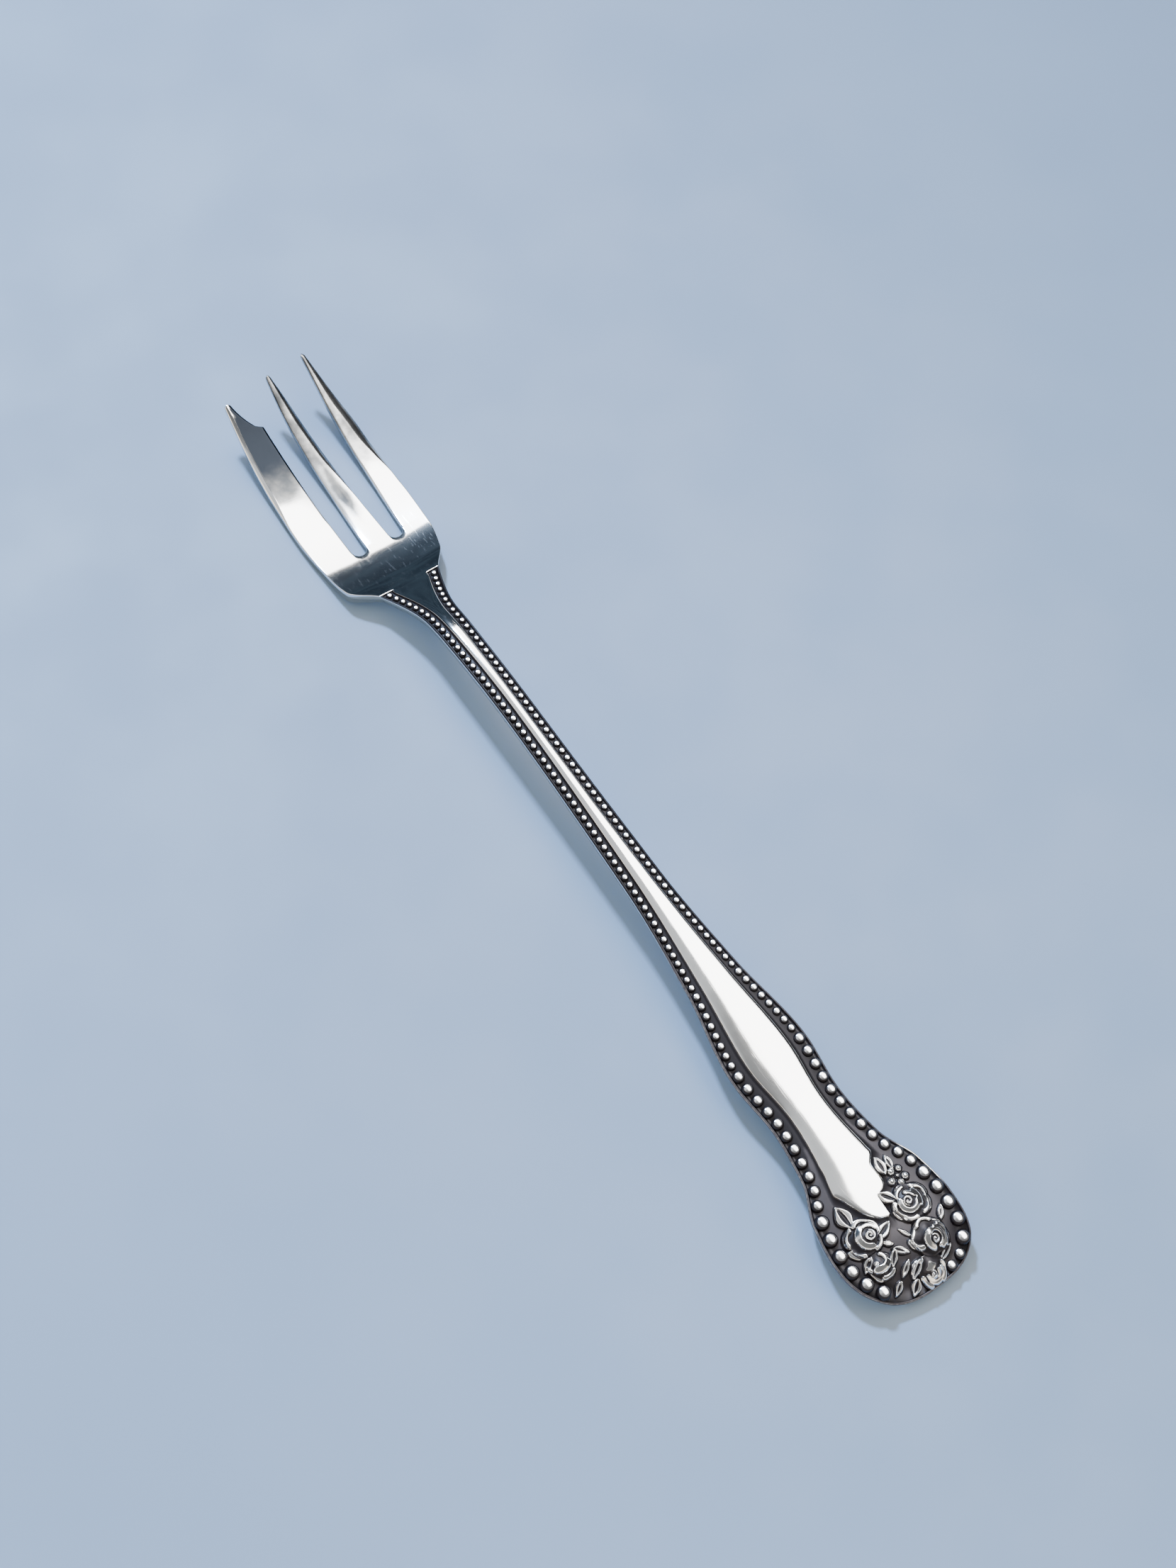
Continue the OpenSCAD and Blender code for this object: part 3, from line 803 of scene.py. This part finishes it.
bead_verts, bead_faces, bead_oxide_and_shade = [], [], []
for side, line in ROWS.items():
    for t, p in line:
        bead_net(row(t, side), p * BEAD_FILL / 2, bead_verts, bead_faces, bead_oxide_and_shade)
bead_piece = make_mesh("fork_beads", bead_verts, bead_faces, {"hollow": bead_oxide_and_shade})

# %% [markdown]
# ## Roses, blossom and leaves
# The flowers were cut into the die with small punches and gravers: a low swelling
# for each rose, its rolled heart, and the turned-up petal edges, each a short arc
# that catches the light. Leaves have raised edges, a hollow body and a low rib.
# Each form is a rule that says how high it stands over the ground at any point. A
# rule is easier to change than a sculpted mesh, and the highest one wins, as
# overlapping petals do.

# %% Forms that the die cutter used
def step(x, start, end):
    """0 before start, 1 after end, smooth between; works on whole grids."""
    v = np.clip((x - start) / (end - start), 0, 1)
    return v * v * (3 - 2 * v)


def bump(s, y, at, radius, height):
    """A small domed petal or berry."""
    d = np.hypot(s - at[0], y - at[1]) / radius
    return height * np.sqrt(np.clip(1 - d ** 2, 0, 1))


def curl(s, y, at, radius, turn, height):
    """The rolled-up heart of a rose: one spiral ridge of one and a half turns."""
    ds, dy = s - at[0], y - at[1]
    d = np.hypot(ds, dy) / radius
    a = (np.arctan2(dy, ds) - math.radians(turn)) / (2 * math.pi)
    phase = (d / 0.75 - a) % 1.0
    ridge = step(phase, 0.05, 0.35) * (1 - step(phase, 0.62, 0.9))
    return height * (0.72 + 0.28 * ridge) * (1 - step(d, 0.96, 1.08))


def mound(s, y, at, size, height):
    """The low swelling that carries a rose's petals; its border is scalloped."""
    ds, dy = s - at[0], y - at[1]
    d = np.hypot(ds, dy) / (size * (1 + 0.04 * np.cos(5 * np.arctan2(dy, ds))))
    return height * (0.45 + 0.55 * (1 - step(d, 0.0, 0.9))) * (1 - step(d, 0.93, 1.04))


def leaf(s, y, base, tip, width, height):
    """A pointed leaf with raised edges, a hollow body and a low rib."""
    hs, hy = (tip[0] - base[0]) / 2, (tip[1] - base[1]) / 2
    ds, dy, half = s - base[0] - hs, y - base[1] - hy, math.hypot(hs, hy)
    u, v = (ds * hs + dy * hy) / half ** 2, (dy * hs - ds * hy) / half
    w = width / 2 * np.clip(1 - np.abs(u) ** 1.8, 0, 1) * (1 - 0.25 * u)
    d = np.abs(v) / np.maximum(w, 0.02)
    body = 0.5 + 0.5 * step(d, 0.2, 0.42) + 0.125 * (1 - step(d, 0.0, 0.12))
    return height * body * (1 - step(d, 0.95, 1.12)) * (1 - step(np.abs(u), 0.97, 1.02))


def arc(s, y, at, radius, start, end, width, height=0.34):
    """A ridge along part of a circle, for the turned-up edge of a petal."""
    ds, dy = s - at[0], y - at[1]
    middle = math.radians((start + end) / 2)
    off = np.abs((np.arctan2(dy, ds) - middle + math.pi) % (2 * math.pi) - math.pi)
    beyond = np.maximum(0, off - math.radians(end - start) / 2) * radius
    d = np.hypot(np.hypot(ds, dy) - radius, beyond) / (0.95 * width)
    return height * np.sqrt(np.clip(1 - d ** 6, 0, 1))


print("a leaf's rib, for a height of 1:", leaf(0, 0, (-1, 0), (1, 0), 1, 1))

# %% [markdown]
# ## Where each flower sits
# The roses sit in a loose bunch on the round end, with leaves at its border and one
# small blossom above. Places and turns were read off the photograph after laying it
# flat in the fork's own frame. Every entry is one stroke of the graver or one leaf,
# so a single petal can be moved without touching the others.

# %% The cluster
# each rose: heart, radius and turn of its curl, middle and size of its mound, height, and
# the turned-up petal edges as arcs (middle, radius, from, to in degrees, width)
ROSES = [
    ((9.72, -2.95), 0.62, 150, (9.6, -3.3), 2.3, 1.0, [
        ((9.65, -3.05), 1.1, 55, 250, 0.36), ((9.7, -3.0), 1.05, -75, -15, 0.3),
        ((9.7, -3.0), 1.45, 235, 300, 0.42), ((9.35, -2.15), 1.15, 40, 145, 0.34),
        ((8.95, -2.65), 1.3, 120, 190, 0.32), ((8.9, -4.25), 1.22, 172, 285, 0.34),
        ((9.85, -4.5), 1.15, 255, 355, 0.42), ((10, -3.3), 1.45, -5, 60, 0.2)]),
    ((4.5, -3.15), 0.56, 60, (5.1, -2.85), 2.3, 1.0, [
        ((4.55, -3.2), 1.02, 0, 140, 0.42), ((4.55, -3.3), 0.95, 185, 355, 0.24),
        ((4.6, -3.35), 1.28, 195, 340, 0.24), ((4.6, -3.4), 1.62, 215, 320, 0.26),
        ((5.6, -1.65), 1.2, 80, 165, 0.34), ((6.25, -2.9), 1.1, -60, 55, 0.36)]),
    ((1.4, -0.95), 0.42, 20, (1.9, -1.1), 1.9, 0.85, [
        ((1.55, -1.0), 0.78, 95, 265, 0.3), ((1.55, -1.15), 1.08, 120, 275, 0.26),
        ((1.55, -1.3), 1.4, 205, 290, 0.28), ((1.5, -1.0), 1.42, 85, 140, 0.34),
        ((2.45, 0.15), 1.1, -25, 115, 0.34)]),
    ((9.05, 3.35), 0.66, -60, (9.2, 4.0), 2.25, 1.0, [
        ((9.1, 3.5), 1.25, 18, 84, 0.42), ((9.1, 3.45), 1.3, 98, 165, 0.44),
        ((9.1, 3.4), 1.2, -75, 5, 0.28), ((8.95, 4.75), 1.62, 100, 165, 0.34),
        ((9.6, 4.95), 1.2, 5, 100, 0.36), ((10, 3.6), 1.18, -50, 40, 0.32),
        ((9.55, 3.05), 1.12, 235, 325, 0.26), ((8.9, 3.6), 1.55, 185, 245, 0.28)]),
    ((5.95, 4.65), 0.3, 0, (5.45, 4.15), 1.7, 0.85, [
        ((5.55, 3.95), 1.5, 155, 215, 0.3), ((6.55, 4.1), 1.4, 148, 215, 0.52),
        ((6.2, 5.1), 0.7, -10, 140, 0.24), ((6, 4.2), 0.95, 230, 320, 0.26)]),
]
LEAVES = [  # base, tip, width, height
    ((10.9, 4.5), (14, 4.65), 1.9, 0.75),
    ((8.1, 2.9), (9.15, 0.2), 1.35, 0.7),
    ((10.6, -1.9), (12.45, -0.45), 1.4, 0.7),
    ((13.7, -2.9), (16.2, -3.05), 1.3, 0.65),
    ((13.8, -4.05), (15.8, -4.25), 0.95, 0.6),
    ((5.9, -5.3), (7.5, -6.4), 0.8, 0.5),
    ((3.1, 2.6), (4.4, 0.8), 0.75, 0.7),
    ((6.4, 1.9), (4.9, 0.2), 0.85, 0.6),
    ((6.2, 1.7), (4.6, 3.1), 0.95, 0.8),
    ((6.7, 1.4), (7.6, 2.6), 0.6, 0.55),
    ((2, 0.9), (0.7, 2.4), 1.3, 0.6),
    ((2.9, 2.9), (1.8, 4.4), 0.9, 0.6),
    ((2.3, 1.6), (3.8, -0.8), 0.9, 0.55),
    ((7, 4.6), (5.8, 6.2), 1.1, 0.6),
    ((2.2, -2.6), (3.2, -4.9), 0.8, 0.45),
    ((6.2, -1.0), (7.8, -0.1), 0.4, 0.3),
]
BLOSSOM = [  # place, radius, height; the last is its middle
    ((12.65, -3.0), 0.52, 0.6), ((12, -3.95), 0.5, 0.6), ((12.4, -4.9), 0.52, 0.6),
    ((13.55, -4.75), 0.46, 0.6), ((13.7, -3.65), 0.52, 0.6), ((12.9, -4.0), 0.27, 0.7)]


def relief(s, y):
    """How high the flowers stand over the ground; 0 where there are none."""
    forms = [leaf(s, y, *entry) for entry in LEAVES]
    forms += [bump(s, y, *entry) for entry in BLOSSOM]
    for heart, radius, turn, middle, size, height, arcs in ROSES:
        edges = np.maximum.reduce([arc(s, y, *entry) for entry in arcs])
        body = mound(s, y, middle, size, height)
        forms.append(edges + np.maximum(body, curl(s, y, heart, radius, turn, 1.25 * height)))
    return np.maximum.reduce(forms)


print("petal edges:", sum(len(r[-1]) for r in ROSES), "leaves:", len(LEAVES))

# %% [markdown]
# ## Relief as one fine net
# A grid over the round end takes its height from the rules. Squares without relief
# are left out, apart from three rings round the flowers, which stay black as the
# corner between flower and ground does on old silver. A last ring sinks under the
# ground so that no gap shows. The difference between a point's height and the
# average round it tells ridges, which polish wears bright, from creases, which
# oxide fills. A Displace modifier could raise the same forms, but it would need
# them as a picture.

# %% Build the relief
CELL = 0.06


def softened(h, radius):
    """Averages a grid over a round neighbourhood."""
    reach = int(3 * radius / CELL)
    weight = np.exp(-0.5 * (np.arange(-reach, reach + 1) * CELL / radius) ** 2)
    weight /= weight.sum()
    for axis in (0, 1):
        h = np.apply_along_axis(lambda line: np.convolve(line, weight, "same"), axis, h)
    return h


def wear(ridge):
    """0 on worn ridges, about 0.85 on open faces, 1 in creases."""
    return 0.85 * (1 - ramp(ridge / 0.05)) + 0.15 * ramp(-ridge / 0.05)


def grown(mask):
    """The mask and every square that touches it."""
    wider = mask.copy()
    wider[1:-1, 1:-1] |= mask[2:, 1:-1] | mask[:-2, 1:-1] | mask[1:-1, 2:] | mask[1:-1, :-2]
    return wider


grid_s, grid_y = np.meshgrid(np.arange(0.1, 17.2, CELL), np.arange(-7.2, 7.0, CELL), indexing="ij")
sharp = relief(grid_s, grid_y)
high = softened(sharp, 0.04)
ridge = high - softened(high, 0.3)
kept = grown(grown(grown(sharp > 0.02)))
near = grown(kept)
flower_verts, flower_hollow, number = [], [], {}
for i, j in zip(*np.nonzero(near)):
    s, y = float(grid_s[i, j]), float(grid_y[i, j])
    rise = float(high[i, j]) + 0.02 if kept[i, j] else -0.15
    number[(i, j)] = len(flower_verts)
    flower_verts.append((s, y, ground_z(s, y) + rise))
    flower_hollow.append(wear(float(ridge[i, j])))
squares = ([(i, j), (i + 1, j), (i + 1, j + 1), (i, j + 1)] for i, j in number)
flower_faces = [[number[q] for q in square] for square in squares
                if all(q in number for q in square)]
flower_piece = make_mesh("fork_flowers", flower_verts, flower_faces, {"hollow": flower_hollow})

# %% [markdown]
# ## Light
# Polished silver has hardly any colour of its own: it looks white where it mirrors
# a lamp and dark where it mirrors the room. Three soft lamps share the work. The
# small window throws the stem's shadow. The wide sheen is mirrored by the panel,
# the lower tines and the bead tops, and lights nothing else. The warm fill is not
# mirrored and only softens the shadow. One lamp could not do all three, because a
# lamp large enough for the sheen blurs the shadow away.

# %% Light
def softbox(name, lean, distance, length, depth, power):
    """A soft rectangle of light, seen at lean (x, y) per unit of height."""
    toward = Vector((lean[0], lean[1], 1)).normalized()
    along = (Vector((1, 0, 0)) - toward * toward.x).normalized()
    data = bpy.data.lights.new(name, "AREA")
    data.shape, data.size, data.size_y, data.energy = "RECTANGLE", length, depth, power
    print(name, "lamp:", power, "W,", length, "by", depth, "m")
    light = add_object(name, data)
    turn = Matrix((along, toward.cross(along), toward)).transposed().to_4x4()
    light.matrix_world = Matrix.Translation(toward * distance) @ turn
    return light


window = softbox("window", (0.83, -0.12), 0.8, 0.075, 0.075, 6.4)
window.data.color = (0.72, 0.98, 1.4)
sheen = softbox("sheen", (0.2, -0.465), 0.8, 1.02, 0.4, 11.5)
sheen.visible_diffuse = False
fill = softbox("fill", (-0.1, 0.2), 1.2, 1.6, 1.6, 5.6)
fill.data.color = (1.0, 0.79, 0.5)
fill.visible_glossy = False

# %% [markdown]
# ## Room
# Where no lamp is mirrored, the metal shows the room. The world is drawn by
# direction: pale low walls, a dimmer ceiling, and a dark, slightly mottled far side
# that the steep bowl mirrors. All this starts a little over the horizon, so the
# table ends against one plain pale tone on every side. Plain colours by direction
# are easier to tune than a picture of a room, and they load no file.

# %% Room
CEILING, LOW_WALL = (0.8, 0.84, 0.88, 1), (2.5, 2.2, 1.8, 1)
BEHIND, OVERHEAD, RIGHT_WALL = (0.3, 0.31, 0.32, 1), (0.2, 0.205, 0.21, 1), (0.05, 0.05, 0.055, 1)
FAR_DARK, FAR_LIGHT = (0.014, 0.024, 0.04, 1), (0.036, 0.058, 0.085, 1)


def feed(tree, node, inputs):
    """Sets a node's inputs, each to a value or to another node's output."""
    for name, value in inputs.items():
        if isinstance(value, bpy.types.NodeSocket):
            tree.links.new(value, node.inputs[name])
        else:
            node.inputs[name].default_value = value


def add(tree, kind, inputs, **settings):
    """Adds a node with its inputs and settings."""
    made = tree.nodes.new(kind)
    for name, value in settings.items():
        setattr(made, name, value)
    feed(tree, made, inputs)
    return made


def scale_range(tree, value, start, end, low=0.0, high=1.0):
    """Maps start..end to low..high with soft ends."""
    return add(tree, "ShaderNodeMapRange", {
        "Value": value, "From Min": start, "From Max": end, "To Min": low, "To Max": high},
        interpolation_type="SMOOTHSTEP").outputs["Result"]


def blend(tree, factor, first, second, **settings):
    """The first colour where the factor is 0, the second where it is 1."""
    return add(tree, "ShaderNodeMix", {"Factor": factor, "A": first, "B": second},
               data_type="RGBA", **settings).outputs["Result"]


def noise_in(tree, at, scale, detail=3.0):
    return add(tree, "ShaderNodeTexNoise", {
        "Vector": at, "Scale": scale, "Detail": detail}).outputs["Fac"]


world = bpy.data.worlds.new("room")
world.use_nodes = True
room = world.node_tree
way = add(room, "ShaderNodeTexCoord", {}).outputs["Generated"]
x, y, z = add(room, "ShaderNodeSeparateXYZ", {"Vector": way}).outputs
far = blend(room, scale_range(room, noise_in(room, way, 17.0), 0.38, 0.62), FAR_DARK, FAR_LIGHT)
seen = wall = blend(room, scale_range(room, z, 0.5, 0.25), CEILING, LOW_WALL)
for axis, start, end, tone in (
        (x, 0.16, 0.02, BEHIND), (x, -0.05, -0.3, OVERHEAD), (z, 0.5, 0.25, wall),
        (y, -0.6, -0.75, RIGHT_WALL), (x, 0.5, 0.62, far), (z, 0.17, 0.1, CEILING)):
    seen = blend(room, scale_range(room, axis, start, end), seen, tone)
feed(room, room.nodes["Background"], {"Color": seen})
bpy.context.scene.world = world
print("room:", len(room.nodes), "nodes")

# %% [markdown]
# ## Effects that the silver surfaces share
# Silver in the hand shows three things besides its own colour: black oxide in every
# hollow, a thin uneven film of tarnish on faces that are seldom rubbed, and hair-fine
# scratches from use. The oxide also carries painted shade, and the film a painted
# dark reflection on the upper tines. They could be painted on each piece, but as node
# groups they are built once, and the body, beads and flowers age in the same way.

# %% Oxide, film and scratches
MASK_AND_COLOR = [("Mask", "NodeSocketFloat"), ("Color", "NodeSocketColor")]
# oxide colours, also used as painted shade on the bead sides, the panel's side and the broad end's
# wall
OXIDE_AND_SHADE_DARK, OXIDE_AND_SHADE_GREY = (0.044, 0.037, 0.041, 1), (0.092, 0.08, 0.086, 1)
OXIDE_AND_SHADE_BLACK = (0.01, 0.007, 0.01, 1)
# film tints; the heavy one is the near-black of a painted dark reflection on the upper tines
FILM_AND_REFLECTION_COOL, FILM_AND_REFLECTION_WARM = (0.06, 0.063, 0.066, 1), (0.14, 0.137, 0.13, 1)
FILM_AND_REFLECTION_HEAVY = (0.016, 0.019, 0.024, 1)


def effect(name, inputs, outputs):
    """An empty node group with inputs (name, value) and outputs (name, kind)."""
    group = bpy.data.node_groups.new(name, "ShaderNodeTree")
    for label, value in inputs:
        socket = group.interface.new_socket(label, in_out="INPUT", socket_type="NodeSocketFloat")
        socket.default_value = value
    for label, kind in outputs:
        group.interface.new_socket(label, in_out="OUTPUT", socket_type=kind)
    return group, group.nodes.new("NodeGroupInput"), group.nodes.new("NodeGroupOutput")


def noise_at(tree, scale, detail=3.0, stretch=None):
    """Noise over the object's own coordinates, in grains per metre."""
    at = add(tree, "ShaderNodeTexCoord", {}).outputs["Object"]
    if stretch:
        at = add(tree, "ShaderNodeMapping", {
            "Vector": at, "Scale": stretch[0], "Rotation": stretch[1]}).outputs["Vector"]
    return noise_in(tree, at, scale, detail)


def calc(tree, operation, *values):
    """A sum; each value may be a number or another node's output."""
    return add(tree, "ShaderNodeMath", dict(enumerate(values)), operation=operation).outputs[0]


def uneven(tree, noise, breakup, value):
    """The value, moved up and down by noise."""
    return calc(tree, "MULTIPLY_ADD", calc(tree, "SUBTRACT", noise, 0.5), breakup, value)


def make_oxide_and_shade():
    """Oxide in the hollows and painted shade on walls and bead sides, grey at first and black where
    deepest.
    """
    group, given, out = effect("black oxide and painted shade", [("Oxide and shade", 0.0), ("Breakup", 0.3)], MASK_AND_COLOR)
    hollow = given.outputs["Oxide and shade"]
    moved = uneven(group, noise_at(group, 2600.0), given.outputs["Breakup"], hollow)
    grey = blend(group, noise_at(group, 700.0), OXIDE_AND_SHADE_DARK, OXIDE_AND_SHADE_GREY)
    deep = scale_range(group, hollow, 0.75, 1.0)
    feed(group, out, {"Mask": scale_range(group, moved, 0.3, 0.7),
                      "Color": blend(group, deep, grey, OXIDE_AND_SHADE_BLACK)})
    return group


def make_film_and_reflection():
    """A cloudy veil of tarnish, thin and warm or heavy and nearly black; where heavy it is a
    painted dark reflection.
    """
    group, given, out = effect("tarnish film and painted reflection", [("Amount", 0.3), ("Breakup", 0.7)], MASK_AND_COLOR)
    moved = uneven(group, noise_at(group, 330.0, 5.0), given.outputs["Breakup"],
                   given.outputs["Amount"])
    tint = scale_range(group, noise_at(group, 500.0, 4.0), 0.3, 0.7)
    thin = blend(group, tint, FILM_AND_REFLECTION_COOL, FILM_AND_REFLECTION_WARM)
    feed(group, out, {"Mask": scale_range(group, moved, 0.2, 0.9), "Color": blend(
        group, scale_range(group, moved, 0.8, 1.6), thin, FILM_AND_REFLECTION_HEAVY)})
    return group


def make_scratches():
    """Hair lines in two directions, as a mask and as a height."""
    group, given, out = effect("fine scratches", [("Amount", 0.5)], [
        ("Mask", "NodeSocketFloat"), ("Height", "NodeSocketFloat")])
    along = noise_at(group, 60.0, 2.0, ((1, 45, 45), (0, 0, 0.12)))
    across = noise_at(group, 50.0, 2.0, ((1, 60, 60), (0, 0, 0.9)))
    lines = scale_range(group, calc(group, "MAXIMUM", along, across), 0.62, 0.7)
    mask = calc(group, "MULTIPLY", lines, given.outputs["Amount"])
    feed(group, out, {"Mask": mask, "Height": calc(group, "SUBTRACT", 1.0, mask)})
    return group


OXIDE_AND_SHADE, FILM_AND_REFLECTION, SCRATCHES = make_oxide_and_shade(), make_film_and_reflection(), make_scratches()
print("effects:", [g.name for g in bpy.data.node_groups])

# %% [markdown]
# ## Silver, three times
# All silver here is one metal, so one function makes its three finishes from a few
# numbers. The body is the smoothest, because its panel and tines were buffed. The
# beads are a little duller, as each is polished only on top. The flowers are
# dullest, and oxide reaches far up their slopes.

# %% Silver
SILVER = (0.93, 0.915, 0.89, 1)
OXIDE_ROUGH, OXIDE_METALLIC = 0.42, 0.35
WAVE_DEPTH, SCRATCH_DEPTH = 0.00003, 0.00001


def use_effect(tree, group, inputs):
    """The outputs of a shared effect inside one material."""
    return add(tree, "ShaderNodeGroup", inputs, node_tree=group).outputs


def silver(name, smooth, film_share, breakup, worn):
    """Silver with its own smoothness, film and painted reflection, oxide and painted shade, and
    scratches.
    """
    material = bpy.data.materials.new(name)
    material.use_nodes = True
    tree = material.node_tree
    hollow, tarnish_and_reflection = (add(tree, "ShaderNodeAttribute", {}, attribute_name=mask).outputs["Fac"]
                     for mask in ("hollow", "tarnish_and_reflection"))
    oxide_and_shade = use_effect(tree, OXIDE_AND_SHADE, {"Oxide and shade": hollow, "Breakup": breakup})
    film_and_reflection = use_effect(tree, FILM_AND_REFLECTION, {"Amount": calc(tree, "ADD", tarnish_and_reflection, film_share)})
    scratch = use_effect(tree, SCRATCHES, {"Amount": worn})
    metal = blend(tree, film_and_reflection["Mask"], SILVER, film_and_reflection["Color"])
    rough = scale_range(tree, oxide_and_shade["Mask"], 0, 1, smooth, OXIDE_ROUGH)
    rough = calc(tree, "MULTIPLY_ADD", film_and_reflection["Mask"], 0.2, rough)
    wave = add(tree, "ShaderNodeBump", {
        "Height": noise_at(tree, 230.0, 2.0), "Distance": WAVE_DEPTH, "Strength": 0.7})
    fine = add(tree, "ShaderNodeBump", {
        "Height": scratch["Height"], "Normal": wave.outputs["Normal"],
        "Distance": SCRATCH_DEPTH, "Strength": 0.25})
    feed(tree, tree.nodes["Principled BSDF"], {
        "Base Color": blend(tree, oxide_and_shade["Mask"], metal, oxide_and_shade["Color"]),
        "Roughness": calc(tree, "MULTIPLY_ADD", scratch["Mask"], 0.12, rough),
        "Metallic": scale_range(tree, oxide_and_shade["Mask"], 0, 1, 1.0, OXIDE_METALLIC),
        "Normal": fine.outputs["Normal"]})
    return material


skin.data.materials.append(silver("polished silver", 0.09, 0.12, 0.25, 0.25))
bead_piece.data.materials.append(silver("bead silver", 0.16, 0.1, 0.3, 0.5))
flower_piece.data.materials.append(silver("relief silver", 0.14, 0.0, 0.3, 0.5))
print("materials:", [m.name for m in bpy.data.materials])

# %% [markdown]
# ## Table
# The fork lies on a plain board, grey-blue, with a very faint grain, so that it does
# not look painted. Its colour is painted paler on one side, as light that falls off
# away from the lamps. It is one big square and its edge stays far from the fork.
# More detail would only take the eye off the silver.

# %% Table
TABLE_HALF = 2
BOARD_PAINTED_SHADE, BOARD_PAINTED_LIGHT = (0.227, 0.329, 0.475, 1), (0.45, 0.655, 0.945, 1)
corners = [(TABLE_HALF * a, TABLE_HALF * b, 0) for a, b in ((-1, -1), (1, -1), (1, 1), (-1, 1))]
floor_mesh = bpy.data.meshes.new("table")
floor_mesh.from_pydata(corners, [], [[0, 1, 2, 3]])
table = add_object("table", floor_mesh)
board = bpy.data.materials.new("pale board")
board.use_nodes = True
tree = board.node_tree
at = add(tree, "ShaderNodeTexCoord", {}).outputs["Object"]
x, y, z = add(tree, "ShaderNodeSeparateXYZ", {"Vector": at}).outputs
# painted light: the board's colour runs from shaded to lit across the table
across = calc(tree, "SUBTRACT", y, calc(tree, "MULTIPLY", x, 0.75))
tone = blend(tree, scale_range(tree, across, -0.375, 0.375), BOARD_PAINTED_SHADE, BOARD_PAINTED_LIGHT)
cloudy = blend(tree, scale_range(tree, noise_at(tree, 9.0, 4.0), 0.3, 0.7),
               (0.93, 0.93, 0.93, 1), (1, 1, 1, 1))
grain = add(tree, "ShaderNodeBump", {
    "Height": noise_at(tree, 1400.0), "Distance": 0.00005, "Strength": 0.2})
feed(tree, tree.nodes["Principled BSDF"], {
    "Base Color": blend(tree, 1.0, tone, cloudy, blend_type="MULTIPLY"),
    "Roughness": scale_range(tree, noise_at(tree, 40.0), 0.3, 0.7, 0.5, 0.62),
    "Normal": grain.outputs["Normal"]})
table.data.materials.append(board)
print("table:", 2 * TABLE_HALF, "m square")

# %% [markdown]
# ## Finish
# The three meshes ride on the frame's root and take the place of the plain CAD
# body.

# %% Finish
for piece in (skin, bead_piece, flower_piece):
    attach(piece, "root")
    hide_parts("fork")
